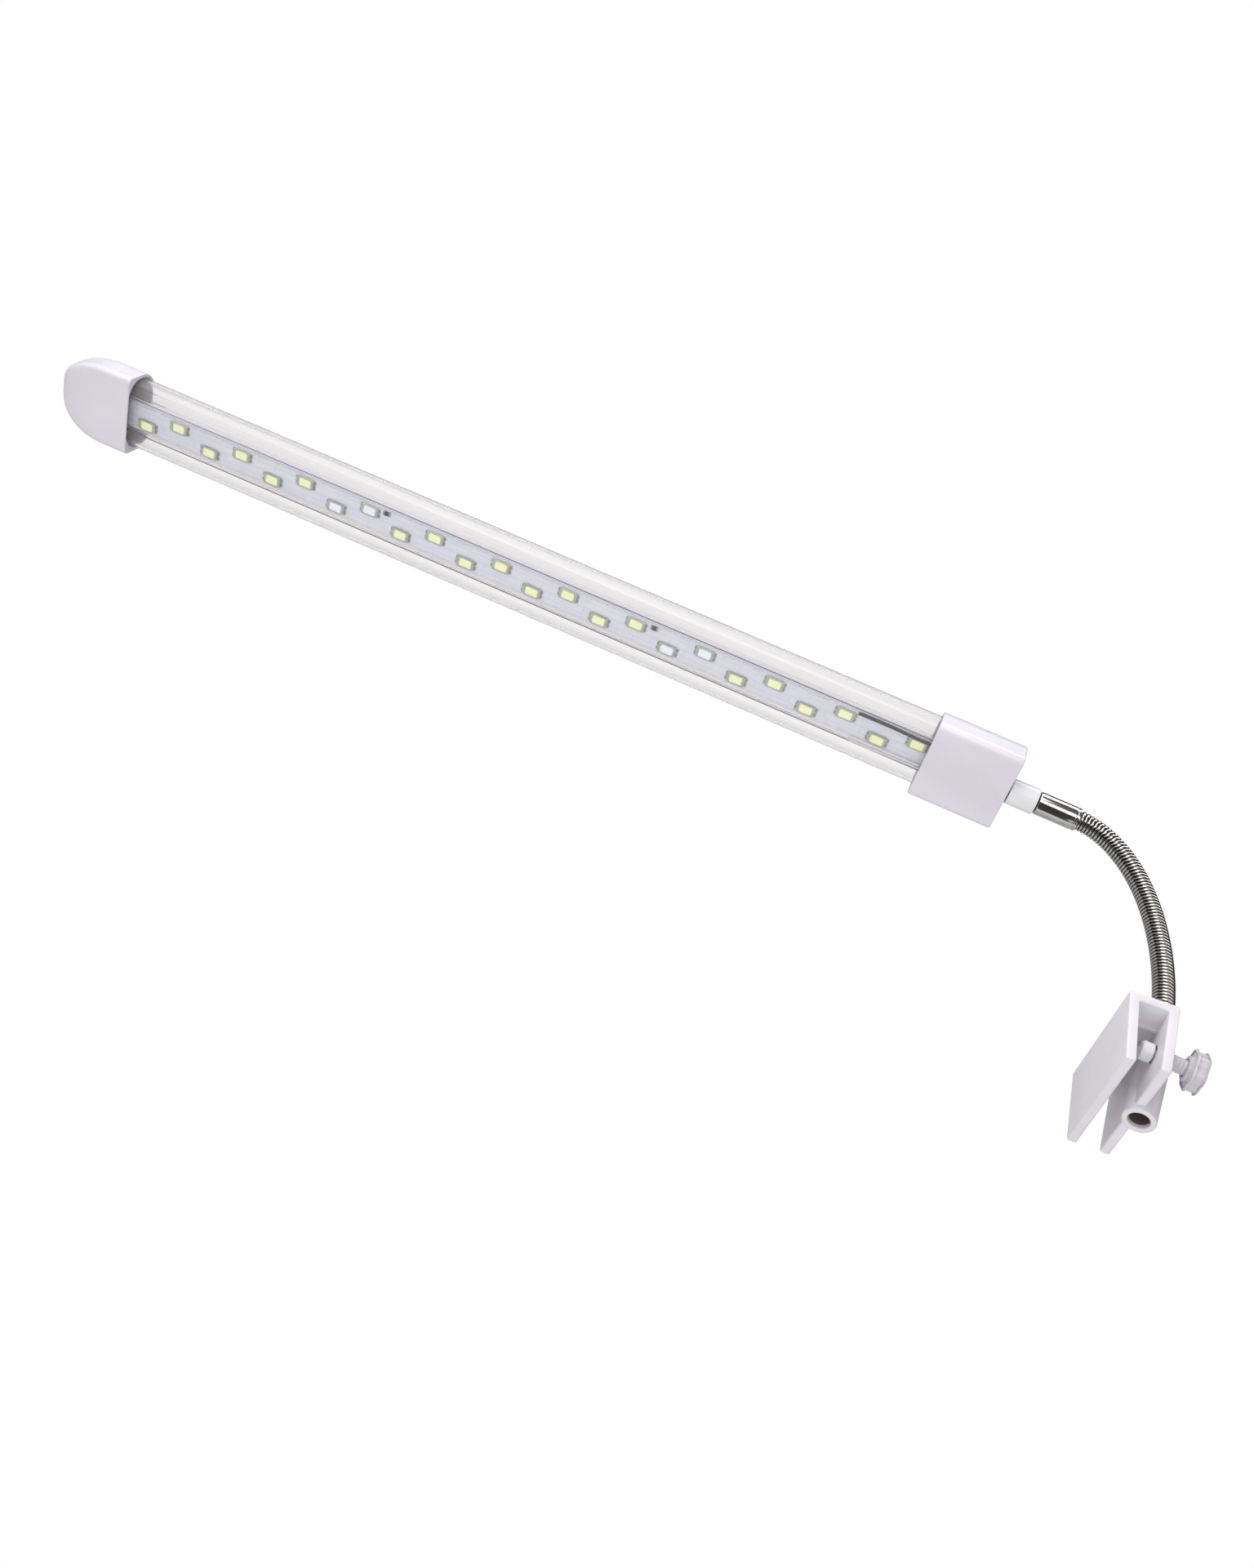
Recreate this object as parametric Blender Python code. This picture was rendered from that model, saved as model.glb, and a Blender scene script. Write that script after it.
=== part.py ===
"""Clip-on aquarium light: a slim clear-tube light bar on a bendable neck, held by a screw clamp.

The origin is the middle of the clamp's front jaw face, the face that lies on the inside of the
tank wall. +Z is up, the wall's thickness runs along +Y, and the light bar reaches out along -Y
over the water with its lamps facing down.
"""
import math

import bmesh
import bpy
from mathutils import Vector
from mathutils.geometry import tessellate_polygon

MM = 0.001

# Clamp: a short U channel whose rear leg leans in towards the front jaw.
CLAMP_WIDTH = 31.4 * MM
CLAMP_HEIGHT = 18.9 * MM
CLAMP_DEPTH = 11.0 * MM
CLAMP_WALL = 2.2 * MM
CLAMP_CORNER = 0.5 * MM
LEG_LEAN = math.radians(4.5)
RIB_COUNT = 4
RIB_THICKNESS = 1.0 * MM
RIB_DEPTH = 1.4 * MM
RIB_SPACING = 6.4 * MM

# Cable boss on the rear leg, with the neck in its top and the cable outlet at its bottom.
BOSS_RADIUS = 3.6 * MM
BOSS_BORE = 2.3 * MM
BOSS_OFFSET = 1.5 * MM
BOSS_TOP = 2.0 * MM
BOSS_BOTTOM = -20.4 * MM
BOSS_SIDES = 32
HOLE_SIDES = 24

# Thumbscrew through the rear leg, beside the boss.
SCREW_SIDE = 9.4 * MM
SCREW_LEVEL = -9.9 * MM
SCREW_RADIUS = 1.75 * MM
SCREW_HOLE = 2.05 * MM
SCREW_TIP_RADIUS = 1.1 * MM
SCREW_TIP_END = -4.0 * MM
SCREW_NECK_END = -2.8 * MM
SCREW_END = 7.2 * MM
KNOB_RADIUS = 4.75 * MM
KNOB_LOBES = 6
KNOB_LOBE_DEPTH = 0.55 * MM
KNOB_INNER = 5.4 * MM
KNOB_OUTER = 8.3 * MM
KNOB_HUB_RADIUS = 2.8 * MM
KNOB_HUB_LENGTH = 0.8 * MM
KNOB_SOCKET_RADIUS = 2.05 * MM
KNOB_POINTS = 48
SCREW_SHOULDER = 0.5 * MM
SCREW_SIDES = 20
PAD_RADIUS = 2.15 * MM
PAD_BACK = -2.5 * MM
PAD_FRONT = -5.1 * MM
PAD_ROUND_LENGTH = 0.3
PAD_ROUND_SCALE = 0.9
PAD_FACE_SCALE = 0.7
PAD_SOCKET_RADIUS = 1.4 * MM
PAD_SOCKET_END = -4.3 * MM
PART_GAP = 0.3 * MM
EDGE_SCALE = 0.93
EDGE_LENGTH = 0.4 * MM

# Bendable neck: thirteen links along one smooth curve, the first and last ones fixed.
NECK_RADIUS = 2.6 * MM
NECK_BORE = 1.2 * MM
NECK_TENON = 1.8 * MM
NECK_FACE_RADIUS = 1.75 * MM
NECK_LINKS = 13
NECK_GAP = 0.4 * MM
NECK_CHAMFER = 0.5 * MM
NECK_STRAIGHT = 3.2 * MM
NECK_LENGTH = 74.3 * MM
NECK_TENON_LENGTH = 6.0 * MM
NECK_ROOT_LENGTH = 3.0 * MM
NECK_BASE_TILT = math.radians(8.3)
NECK_EVEN_SHARE = 0.45
NECK_TURN_POWER = 6.0
NECK_STEPS = 480
NECK_SIDES = 18

# Where the light bar points: swung sideways, tipped up, and rolled about its own length.
BAR_YAW = math.radians(2.6)
BAR_PITCH = math.radians(3.8)
BAR_ROLL = math.radians(-9.3)

# Light bar, measured along its length from the end of the neck.
AXIS_OFFSET = 2.6 * MM
BAR_CENTRE = -159.5 * MM
TUBE_HALF_WIDTH = 9.95 * MM
TUBE_HALF_DEPTH = 5.3 * MM
TUBE_CORNER = 5.15 * MM
TUBE_WALL = 0.9 * MM
TUBE_HALF_LENGTH = 130.5 * MM
RAIL_INNER = 4.4 * MM
RAIL_OUTER = 5.0 * MM
RAIL_LIP = 3.7 * MM
RAIL_LIP_HEIGHT = 0.6 * MM
BOARD_FIT = 0.3 * MM
RAIL_MARGIN = 0.2 * MM
CAP_HALF_WIDTH = 11.3 * MM
CAP_HALF_DEPTH = 6.2 * MM
CAP_CORNER = 1.8 * MM
CAP_BACK_CORNER = 6.05 * MM
CAP_EDGE = 0.4 * MM
CAP_FIT = 0.3 * MM
CAP_POINTS = 44
CORNER_LIMIT = 0.98
NEAR_CAP_OPEN = 117.9 * MM
NEAR_CAP_END = 140.6 * MM
NEAR_CAP_FLOOR = 138.4 * MM
FAR_CAP_OPEN = -119.4 * MM
FAR_CAP_DOME = -127.6 * MM
FAR_CAP_TIP = -143.0 * MM
FAR_CAP_INNER_TIP = -141.5 * MM
DOME_STEPS = 7
DOME_SWEEP = math.radians(86.0)
DOME_WIDTH_POWER = 0.9
DOME_DEPTH_POWER = 0.6
HOLLOW_SHARE = 0.8

# Collar, swivel ferrule and the hole they share in the near cap.
COLLAR_RADIUS = 3.45 * MM
COLLAR_BORE = 2.5 * MM
COLLAR_START = 140.9 * MM
COLLAR_END = 148.2 * MM
FERRULE_RADIUS = 3.05 * MM
FERRULE_BORE = 2.35 * MM
FERRULE_SPIGOT = 2.15 * MM
FERRULE_HEAD_RADIUS = 2.85 * MM
FERRULE_HEAD_START = 135.6 * MM
FERRULE_HEAD_END = 137.9 * MM
FERRULE_START = 148.5 * MM
FERRULE_END = 159.5 * MM
FERRULE_LEAD_BORE = 1.2 * MM
FERRULE_BORE_FLOOR = 152.0 * MM
SLEEVE_SIDES = 24

# Circuit board and what is soldered on it.
BOARD_HALF_WIDTH = 4.1 * MM
BOARD_FACE = -2.0 * MM
BOARD_BACK = -1.0 * MM
BOARD_HALF_LENGTH = 127.0 * MM
LED_COUNT = 24
LED_PITCH = 10.0 * MM
LED_ROW_SPACING = 3.3 * MM
LED_LENGTH = 5.7 * MM
LED_WIDTH = 3.0 * MM
LED_HEIGHT = 0.8 * MM
LED_WINDOW_MARGIN = 0.45 * MM
LED_WINDOW_DEPTH = 0.2 * MM
SOLDER_GAP = 0.1 * MM
BLUE_LEDS = (7, 8, 17, 18)
RESISTOR_LENGTH = 2.0 * MM
RESISTOR_WIDTH = 1.2 * MM
RESISTOR_HEIGHT = 0.5 * MM
RESISTOR_SIDE = 2.7 * MM
RESISTOR_PLACES = (-40.0 * MM, 40.0 * MM)
LEAD_RADIUS = 0.4 * MM
LEAD_SIDE = 4.0 * MM
LEAD_DEPTH = -3.55 * MM
LEAD_START = 98.0 * MM
LEAD_END = 134.0 * MM
LEAD_SIDES = 10


def clear_scene():
    for obj in list(bpy.data.objects):
        bpy.data.objects.remove(obj, do_unlink=True)


def make_material(name, colour, roughness, metallic=0.0, transmission=0.0):
    material = bpy.data.materials.new(name)
    material.use_nodes = True
    shader = material.node_tree.nodes["Principled BSDF"]
    shader.inputs["Base Color"].default_value = (*colour, 1.0)
    shader.inputs["Roughness"].default_value = roughness
    shader.inputs["Metallic"].default_value = metallic
    shader.inputs["Transmission Weight"].default_value = transmission
    material.diffuse_color = (*colour, 1.0)
    return material


def frame(name, location, rotation, order="XYZ", parent=None):
    empty = bpy.data.objects.new(name, None)
    empty.location = location
    empty.rotation_mode = order
    empty.rotation_euler = rotation
    empty.parent = parent
    bpy.context.scene.collection.objects.link(empty)
    return empty


def finish(name, bm, material, parent=None, location=(0.0, 0.0, 0.0)):
    bmesh.ops.recalc_face_normals(bm, faces=bm.faces)
    if bm.calc_volume(signed=True) < 0.0:
        bmesh.ops.reverse_faces(bm, faces=bm.faces)
    mesh = bpy.data.meshes.new(name)
    bm.to_mesh(mesh)
    bm.free()
    mesh.materials.append(material)
    obj = bpy.data.objects.new(name, mesh)
    obj.parent = parent
    obj.location = location
    bpy.context.scene.collection.objects.link(obj)
    return obj


def loft(name, rings, material, closed=False, parent=None, location=(0.0, 0.0, 0.0)):
    """Skin equal rings of points in order, then close both ends, or join the last to the first."""
    bm = bmesh.new()
    rows = [[bm.verts.new(point) for point in ring] for ring in rings]
    count = len(rows[0])
    spans = len(rows) if closed else len(rows) - 1
    for index in range(spans):
        row = rows[index]
        following = rows[(index + 1) % len(rows)]
        for near in range(count):
            far = (near + 1) % count
            bm.faces.new((row[near], row[far], following[far], following[near]))
    if not closed:
        bm.faces.new(list(reversed(rows[0])))
        bm.faces.new(rows[-1])
    return finish(name, bm, material, parent, location)


def prism(name, loops, start, end, place, material, parent=None):
    """Extrude flat loops, the first one the outside and the rest holes, between two stations."""
    bm = bmesh.new()
    ends = []
    for station in (start, end):
        ends.append([[bm.verts.new(place(a, b, station)) for a, b in loop] for loop in loops])
    for near_loop, far_loop in zip(*ends):
        count = len(near_loop)
        for index in range(count):
            after = (index + 1) % count
            bm.faces.new((near_loop[index], near_loop[after], far_loop[after], far_loop[index]))
    flat_loops = [[Vector((a, b, 0.0)) for a, b in loop] for loop in loops]
    triangles = tessellate_polygon(flat_loops)
    for group in ends:
        points = [vertex for loop in group for vertex in loop]
        for triangle in triangles:
            bm.faces.new([points[index] for index in triangle])
    return finish(name, bm, material, parent)


def along_y(a, b, station):
    return Vector((a, station, b))


def along_x(a, b, station):
    return Vector((station, a, b))


def circle(radius, station, count, centre=(0.0, 0.0)):
    """A ring around the Y axis."""
    ring = []
    for index in range(count):
        angle = math.tau * index / count
        ring.append((centre[0] + radius * math.cos(angle), station, centre[1] + radius * math.sin(angle)))
    return ring


def turned(name, profile, count, material, closed=False, parent=None, location=(0.0, 0.0, 0.0)):
    """Turn a profile of (radius, station) pairs about the Y axis."""
    rings = [circle(radius, station, count) for radius, station in profile]
    return loft(name, rings, material, closed, parent, location)


def rounded_rectangle(half_width, half_depth, corner, count, back_corner=None):
    """Points around a rounded rectangle, spread evenly. Its back corners may be rounder."""
    points = []
    for index in range(count):
        angle = math.tau * (index + 0.5) / count
        aim = Vector((half_width * math.cos(angle), half_depth * math.sin(angle))).normalized()
        radius = back_corner if back_corner and aim.y > 0.0 else corner
        radius = min(radius, half_width * CORNER_LIMIT, half_depth * CORNER_LIMIT)
        middle = Vector((half_width - radius, half_depth - radius))
        toward = Vector((abs(aim.x), abs(aim.y)))
        reach = min(half_width / toward.x, half_depth / toward.y)
        touch = toward * reach
        if touch.x > middle.x and touch.y > middle.y:
            along = toward.dot(middle)
            reach = along + math.sqrt(along**2 - middle.length_squared + radius**2)
        points.append((aim.x * reach, aim.y * reach))
    return points


def section_ring(half_width, half_depth, corner, station, back_corner=None):
    """A rounded rectangle across the bar, centred on the bar's own middle."""
    outline = rounded_rectangle(half_width, half_depth, corner, CAP_POINTS, back_corner)
    return [(x, station, z + AXIS_OFFSET) for x, z in outline]


def cap_ring(inset, station):
    """The outside of an end cap at a station, moved in by an inset."""
    width = CAP_HALF_WIDTH - inset
    depth = CAP_HALF_DEPTH - inset
    return section_ring(width, depth, CAP_CORNER, station, CAP_BACK_CORNER)


def round_hole_ring(radius, outer_ring):
    """A circle on the swivel axis, each point in line with one of the ring around it."""
    ring = []
    for x, station, z in outer_ring:
        reach = math.hypot(x, z)
        ring.append((x / reach * radius, station, z / reach * radius))
    return ring


def filleted(points, radius, steps=3):
    """Replace each corner of a polygon by a short arc."""
    result = []
    count = len(points)
    for index in range(count):
        corner = Vector(points[index])
        before = (Vector(points[index - 1]) - corner).normalized()
        after = (Vector(points[(index + 1) % count]) - corner).normalized()
        half_angle = before.angle(after) / 2
        setback = radius / math.tan(half_angle)
        centre = corner + (before + after).normalized() * (radius / math.sin(half_angle))
        first = corner + before * setback - centre
        last = corner + after * setback - centre
        for step in range(steps + 1):
            direction = first.lerp(last, step / steps).normalized()
            result.append(tuple(centre + direction * radius))
    return result


def box(name, low, high, material, parent=None):
    x0, y0, z0 = low
    x1, y1, z1 = high
    rings = [[(x0, y, z0), (x1, y, z0), (x1, y, z1), (x0, y, z1)] for y in (y0, y1)]
    return loft(name, rings, material, parent=parent)


def combine(target, tool, operation):
    """Join a tool piece to the target, or cut it away, and keep the tool out of the build."""
    modifier = target.modifiers.new(tool.name, "BOOLEAN")
    modifier.operation = operation
    modifier.solver = "EXACT"
    modifier.object = tool
    tool.hide_render = True
    tool.display_type = "WIRE"


def standing_cylinder(name, radius, low, high, count, material, parent):
    """A cylinder along the boss's own axis."""
    rings = []
    for station in (low, high):
        ring = circle(radius, 0.0, count)
        rings.append([(x, z, station) for x, _, z in ring])
    return loft(name, rings, material, parent=parent)


def leg_point(outward, level):
    """A point of the leaning rear leg in the channel's (Y, Z) section."""
    y = CLAMP_DEPTH + outward * math.cos(LEG_LEAN) + level * math.sin(LEG_LEAN)
    z = level * math.cos(LEG_LEAN) - outward * math.sin(LEG_LEAN)
    return (y, z)


def build_clamp(clamp_frame, leg_frame, boss_frame, plastic):
    leg_length = CLAMP_HEIGHT / math.cos(LEG_LEAN)
    inner_level = -CLAMP_WALL * (1 + math.sin(LEG_LEAN)) / math.cos(LEG_LEAN)
    section = [
        (0.0, 0.0),
        (0.0, -CLAMP_HEIGHT),
        (CLAMP_WALL, -CLAMP_HEIGHT),
        (CLAMP_WALL, -CLAMP_WALL),
        leg_point(-CLAMP_WALL, inner_level),
        leg_point(-CLAMP_WALL, -leg_length),
        leg_point(0.0, -leg_length),
        leg_point(0.0, 0.0),
    ]
    half = CLAMP_WIDTH / 2
    outline = filleted(section, CLAMP_CORNER)
    body = prism("clamp_body", [outline], -half, half, along_x, plastic, clamp_frame)

    for index in range(RIB_COUNT):
        middle = (index - (RIB_COUNT - 1) / 2) * RIB_SPACING
        low = (middle - RIB_THICKNESS / 2, CLAMP_WALL / 2, -CLAMP_WALL - RIB_DEPTH)
        high = (middle + RIB_THICKNESS / 2, CLAMP_DEPTH - CLAMP_WALL / 2, -CLAMP_WALL / 2)
        rib = box(f"rib_{index + 1}", low, high, plastic, clamp_frame)
        combine(body, rib, "UNION")

    boss = standing_cylinder("boss", BOSS_RADIUS, BOSS_BOTTOM, BOSS_TOP, BOSS_SIDES, plastic, boss_frame)
    combine(body, boss, "UNION")
    margin = CLAMP_WALL
    bore = standing_cylinder(
        "boss_bore", BOSS_BORE, BOSS_BOTTOM - margin, BOSS_TOP + margin, HOLE_SIDES, plastic, boss_frame
    )
    combine(body, bore, "DIFFERENCE")
    hole_profile = ((SCREW_HOLE, -2 * CLAMP_WALL), (SCREW_HOLE, CLAMP_WALL))
    place = (SCREW_SIDE, 0.0, SCREW_LEVEL)
    hole = turned("screw_hole", hole_profile, HOLE_SIDES, plastic, parent=leg_frame, location=place)
    combine(body, hole, "DIFFERENCE")
    return body


def knob_ring(scale, station):
    """One outline of the lobed knob: six round lobes with narrow notches between them."""
    ring = []
    for index in range(KNOB_POINTS):
        angle = math.tau * index / KNOB_POINTS
        lobe = abs(math.cos(KNOB_LOBES / 2 * angle))
        radius = scale * (KNOB_RADIUS - KNOB_LOBE_DEPTH * (1.0 - lobe))
        ring.append((radius * math.cos(angle), station, radius * math.sin(angle)))
    return ring


def build_screw(screw_frame, plastic):
    """The pressure pad, and the screw with its knob. Stations run outwards from the leg."""
    pad_length = PAD_BACK - PAD_FRONT
    pad_profile = (
        (PAD_SOCKET_RADIUS, PAD_SOCKET_END),
        (PAD_SOCKET_RADIUS, PAD_BACK),
        (PAD_RADIUS, PAD_BACK),
        (PAD_RADIUS, PAD_FRONT + pad_length * PAD_ROUND_LENGTH),
        (PAD_RADIUS * PAD_ROUND_SCALE, PAD_FRONT + pad_length * PAD_ROUND_LENGTH / 3),
        (PAD_RADIUS * PAD_FACE_SCALE, PAD_FRONT),
    )
    turned("pressure_pad", pad_profile, SCREW_SIDES, plastic, parent=screw_frame)

    shaft_profile = (
        (SCREW_TIP_RADIUS - SCREW_SHOULDER, SCREW_TIP_END),
        (SCREW_TIP_RADIUS, SCREW_TIP_END + SCREW_SHOULDER),
        (SCREW_TIP_RADIUS, SCREW_NECK_END + SCREW_TIP_RADIUS),
        (SCREW_RADIUS, SCREW_NECK_END + SCREW_TIP_RADIUS + SCREW_SHOULDER),
        (SCREW_RADIUS, SCREW_END),
    )
    turned("screw_shaft", shaft_profile, SCREW_SIDES, plastic, parent=screw_frame)

    count = KNOB_POINTS
    socket_floor = SCREW_END + PART_GAP
    hub_end = KNOB_INNER - KNOB_HUB_LENGTH
    rings = [
        circle(KNOB_SOCKET_RADIUS, socket_floor, count),
        circle(KNOB_SOCKET_RADIUS, hub_end, count),
        circle(KNOB_HUB_RADIUS, hub_end, count),
        circle(KNOB_HUB_RADIUS, KNOB_INNER, count),
        knob_ring(EDGE_SCALE, KNOB_INNER),
        knob_ring(1.0, KNOB_INNER + EDGE_LENGTH),
        knob_ring(1.0, KNOB_OUTER - EDGE_LENGTH),
        knob_ring(EDGE_SCALE, KNOB_OUTER),
    ]
    loft("screw_knob", rings, plastic, parent=screw_frame)


def neck_direction(share):
    """How far the neck has turned, as an angle in its own upright plane, from its start."""
    start = math.pi / 2 - NECK_BASE_TILT
    turn = math.pi - BAR_PITCH - start
    bend = NECK_EVEN_SHARE * share + (1 - NECK_EVEN_SHARE) * share**NECK_TURN_POWER
    return start + turn * bend


def neck_curve():
    """Stations (distance, y, z, angle) along the neck's centre line, in its own plane."""
    stations = []
    y = 0.0
    z = 0.0
    step = NECK_LENGTH / NECK_STEPS
    for index in range(NECK_STEPS + 1):
        angle = neck_direction(index / NECK_STEPS)
        stations.append((index * step, y, z, angle))
        middle = neck_direction((index + 0.5) / NECK_STEPS)
        y += step * math.cos(middle)
        z += step * math.sin(middle)
    return stations


def neck_station(curve, distance):
    """Where the neck is at a distance along it. Past either end it runs straight on."""
    clamped = min(max(distance, 0.0), NECK_LENGTH)
    index = min(int(clamped / NECK_LENGTH * NECK_STEPS), NECK_STEPS)
    at, y, z, angle = curve[index]
    beyond = distance - at
    return (y + beyond * math.cos(angle), z + beyond * math.sin(angle), angle)


def neck_ring(curve, distance, radius, count):
    """A ring around the neck, square to it."""
    y, z, angle = neck_station(curve, distance)
    ring = []
    for index in range(count):
        around = math.tau * index / count
        side = radius * math.cos(around)
        rise = radius * math.sin(around)
        ring.append((side, y - rise * math.sin(angle), z + rise * math.cos(angle)))
    return ring


def link_span(number):
    """Where link number one to thirteen starts and ends along the neck."""
    pitch = (NECK_LENGTH - NECK_STRAIGHT) / (NECK_LINKS - 1)
    if number == 1:
        return (0.0, NECK_STRAIGHT - NECK_GAP / 2)
    start = NECK_STRAIGHT + (number - 2) * pitch + NECK_GAP / 2
    return (start, start + pitch - NECK_GAP)


def build_neck(neck_frame, curve, chrome):
    for number in range(1, NECK_LINKS + 1):
        start, end = link_span(number)
        profile = []
        if number == 1:
            profile.append((NECK_BORE, start - NECK_ROOT_LENGTH))
        else:
            profile.append((NECK_BORE, start))
        if number == NECK_LINKS:
            end = NECK_LENGTH - NECK_GAP
            profile.append((NECK_BORE, (start + end) / 2))
            profile.append((NECK_BORE, NECK_LENGTH + NECK_TENON_LENGTH))
            profile.append((NECK_TENON, NECK_LENGTH + NECK_TENON_LENGTH))
            profile.append((NECK_TENON, end))
            profile.append((NECK_RADIUS, end))
        else:
            profile.append((NECK_BORE, (start + end) / 2))
            profile.append((NECK_BORE, end))
            profile.append((NECK_FACE_RADIUS, end))
            profile.append((NECK_RADIUS, end - NECK_CHAMFER))
        profile.append((NECK_RADIUS, (start + end) / 2))
        if number == 1:
            profile.append((NECK_RADIUS, start + NECK_GAP))
            profile.append((NECK_TENON, start + NECK_GAP))
            profile.append((NECK_TENON, start - NECK_ROOT_LENGTH))
        else:
            profile.append((NECK_RADIUS, start + NECK_CHAMFER))
            profile.append((NECK_FACE_RADIUS, start))
        rings = [neck_ring(curve, distance, radius, NECK_SIDES) for radius, distance in profile]
        loft(f"neck_link_{number:02d}", rings, chrome, closed=True, parent=neck_frame)


def build_ferrule(bar_frame, chrome):
    """The chrome sleeve the neck ends in. Its headed spigot lets the bar swivel on it."""
    profile = [
        (FERRULE_LEAD_BORE, FERRULE_HEAD_START),
        (FERRULE_HEAD_RADIUS, FERRULE_HEAD_START),
        (FERRULE_HEAD_RADIUS, FERRULE_HEAD_END),
        (FERRULE_SPIGOT, FERRULE_HEAD_END),
        (FERRULE_SPIGOT, FERRULE_START),
        (FERRULE_RADIUS * EDGE_SCALE, FERRULE_START),
        (FERRULE_RADIUS, FERRULE_START + EDGE_LENGTH),
        (FERRULE_RADIUS, FERRULE_END - EDGE_LENGTH),
        (FERRULE_RADIUS * EDGE_SCALE, FERRULE_END),
        (FERRULE_BORE, FERRULE_END),
        (FERRULE_BORE, FERRULE_BORE_FLOOR),
        (FERRULE_LEAD_BORE, FERRULE_BORE_FLOOR),
    ]
    shifted = [(radius, station + BAR_CENTRE) for radius, station in profile]
    turned("neck_ferrule", shifted, SLEEVE_SIDES, chrome, closed=True, parent=bar_frame)


def build_collar(bar_frame, plastic):
    profile = [
        (COLLAR_BORE, COLLAR_START),
        (COLLAR_RADIUS, COLLAR_START),
        (COLLAR_RADIUS, COLLAR_END - EDGE_LENGTH),
        (COLLAR_RADIUS * EDGE_SCALE, COLLAR_END),
        (COLLAR_BORE, COLLAR_END),
    ]
    shifted = [(radius, station + BAR_CENTRE) for radius, station in profile]
    turned("neck_collar", shifted, SLEEVE_SIDES, plastic, closed=True, parent=bar_frame)


def build_near_cap(bar_frame, plastic):
    socket_width = TUBE_HALF_WIDTH + CAP_FIT
    socket_depth = TUBE_HALF_DEPTH + CAP_FIT
    opening = NEAR_CAP_OPEN + BAR_CENTRE
    floor = NEAR_CAP_FLOOR + BAR_CENTRE
    end = NEAR_CAP_END + BAR_CENTRE
    outer_end = cap_ring(CAP_EDGE, end)
    inner_end = section_ring(socket_width, socket_depth, TUBE_CORNER, floor)
    rings = [
        section_ring(socket_width, socket_depth, TUBE_CORNER, opening),
        cap_ring(0.0, opening),
        cap_ring(0.0, end - CAP_EDGE),
        outer_end,
        round_hole_ring(COLLAR_BORE, outer_end),
        round_hole_ring(COLLAR_BORE, inner_end),
        inner_end,
    ]
    loft("end_cap_near", rings, plastic, closed=True, parent=bar_frame)


def dome_rings(half_width, half_depth, corner, start, tip, back_corner=None):
    """Cross-sections of a flattened dome, shrinking from its start to its tip."""
    rings = []
    for step in range(DOME_STEPS + 1):
        angle = DOME_SWEEP * step / DOME_STEPS
        station = start + (tip - start) * math.sin(angle)
        width = half_width * math.cos(angle) ** DOME_WIDTH_POWER
        depth = half_depth * math.cos(angle) ** DOME_DEPTH_POWER
        rings.append(section_ring(width, depth, corner, station, back_corner))
    return rings


def build_far_cap(bar_frame, plastic):
    socket_width = TUBE_HALF_WIDTH + CAP_FIT
    socket_depth = TUBE_HALF_DEPTH + CAP_FIT
    opening = FAR_CAP_OPEN + BAR_CENTRE
    dome = FAR_CAP_DOME + BAR_CENTRE
    tip = FAR_CAP_TIP + BAR_CENTRE
    inner_tip = FAR_CAP_INNER_TIP + BAR_CENTRE
    inner_dome = -TUBE_HALF_LENGTH - CAP_FIT + BAR_CENTRE
    outside = dome_rings(CAP_HALF_WIDTH, CAP_HALF_DEPTH, CAP_CORNER, dome, tip, CAP_BACK_CORNER)
    rings = list(reversed(outside))
    rings.append(cap_ring(0.0, opening))
    rings.append(section_ring(socket_width, socket_depth, TUBE_CORNER, opening))
    rings.append(section_ring(socket_width, socket_depth, TUBE_CORNER, inner_dome))
    hollow_width = socket_width * HOLLOW_SHARE
    hollow_depth = socket_depth * HOLLOW_SHARE
    rings.append(section_ring(hollow_width, hollow_depth, CAP_CORNER, inner_dome))
    rings.extend(dome_rings(hollow_width, hollow_depth, CAP_CORNER, inner_dome, inner_tip)[1:])
    loft("end_cap_far", rings, plastic, parent=bar_frame)


def build_tube(bar_frame, clear):
    outer = rounded_rectangle(TUBE_HALF_WIDTH, TUBE_HALF_DEPTH, TUBE_CORNER, CAP_POINTS)
    inner_width = TUBE_HALF_WIDTH - TUBE_WALL
    inner_depth = TUBE_HALF_DEPTH - TUBE_WALL
    inner = rounded_rectangle(inner_width, inner_depth, TUBE_CORNER - TUBE_WALL, CAP_POINTS)
    lip = RAIL_LIP_HEIGHT
    slot_low = BOARD_FACE - BOARD_FIT
    slot_high = BOARD_BACK + BOARD_FIT
    rail = [
        (RAIL_OUTER, inner_depth),
        (RAIL_OUTER, slot_low - lip),
        (RAIL_LIP, slot_low - lip),
        (RAIL_LIP, slot_low),
        (RAIL_INNER, slot_low),
        (RAIL_INNER, slot_high),
        (RAIL_LIP, slot_high),
        (RAIL_LIP, slot_high + lip),
        (RAIL_INNER, slot_high + lip),
        (RAIL_INNER, inner_depth),
    ]
    mirrored = [(-x, z) for x, z in reversed(rail)]
    beyond_rail = RAIL_OUTER + RAIL_MARGIN
    right = [(x, z) for x, z in inner if z > 0.0 and x > beyond_rail]
    left = [(x, z) for x, z in inner if z > 0.0 and x < -beyond_rail]
    below = [(x, z) for x, z in inner if z <= 0.0]
    hollow = right + rail + mirrored + left + below
    loops = []
    for loop in (outer, hollow):
        loops.append([(x, z + AXIS_OFFSET) for x, z in loop])
    start = BAR_CENTRE - TUBE_HALF_LENGTH
    end = BAR_CENTRE + TUBE_HALF_LENGTH
    prism("light_tube", loops, start, end, along_y, clear, bar_frame)


def bar_box(name, side, station, low, high, half_width, half_length, material, parent):
    lowest = (side - half_width, station - half_length + BAR_CENTRE, low + AXIS_OFFSET)
    highest = (side + half_width, station + half_length + BAR_CENTRE, high + AXIS_OFFSET)
    return box(name, lowest, highest, material, parent)


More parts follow.
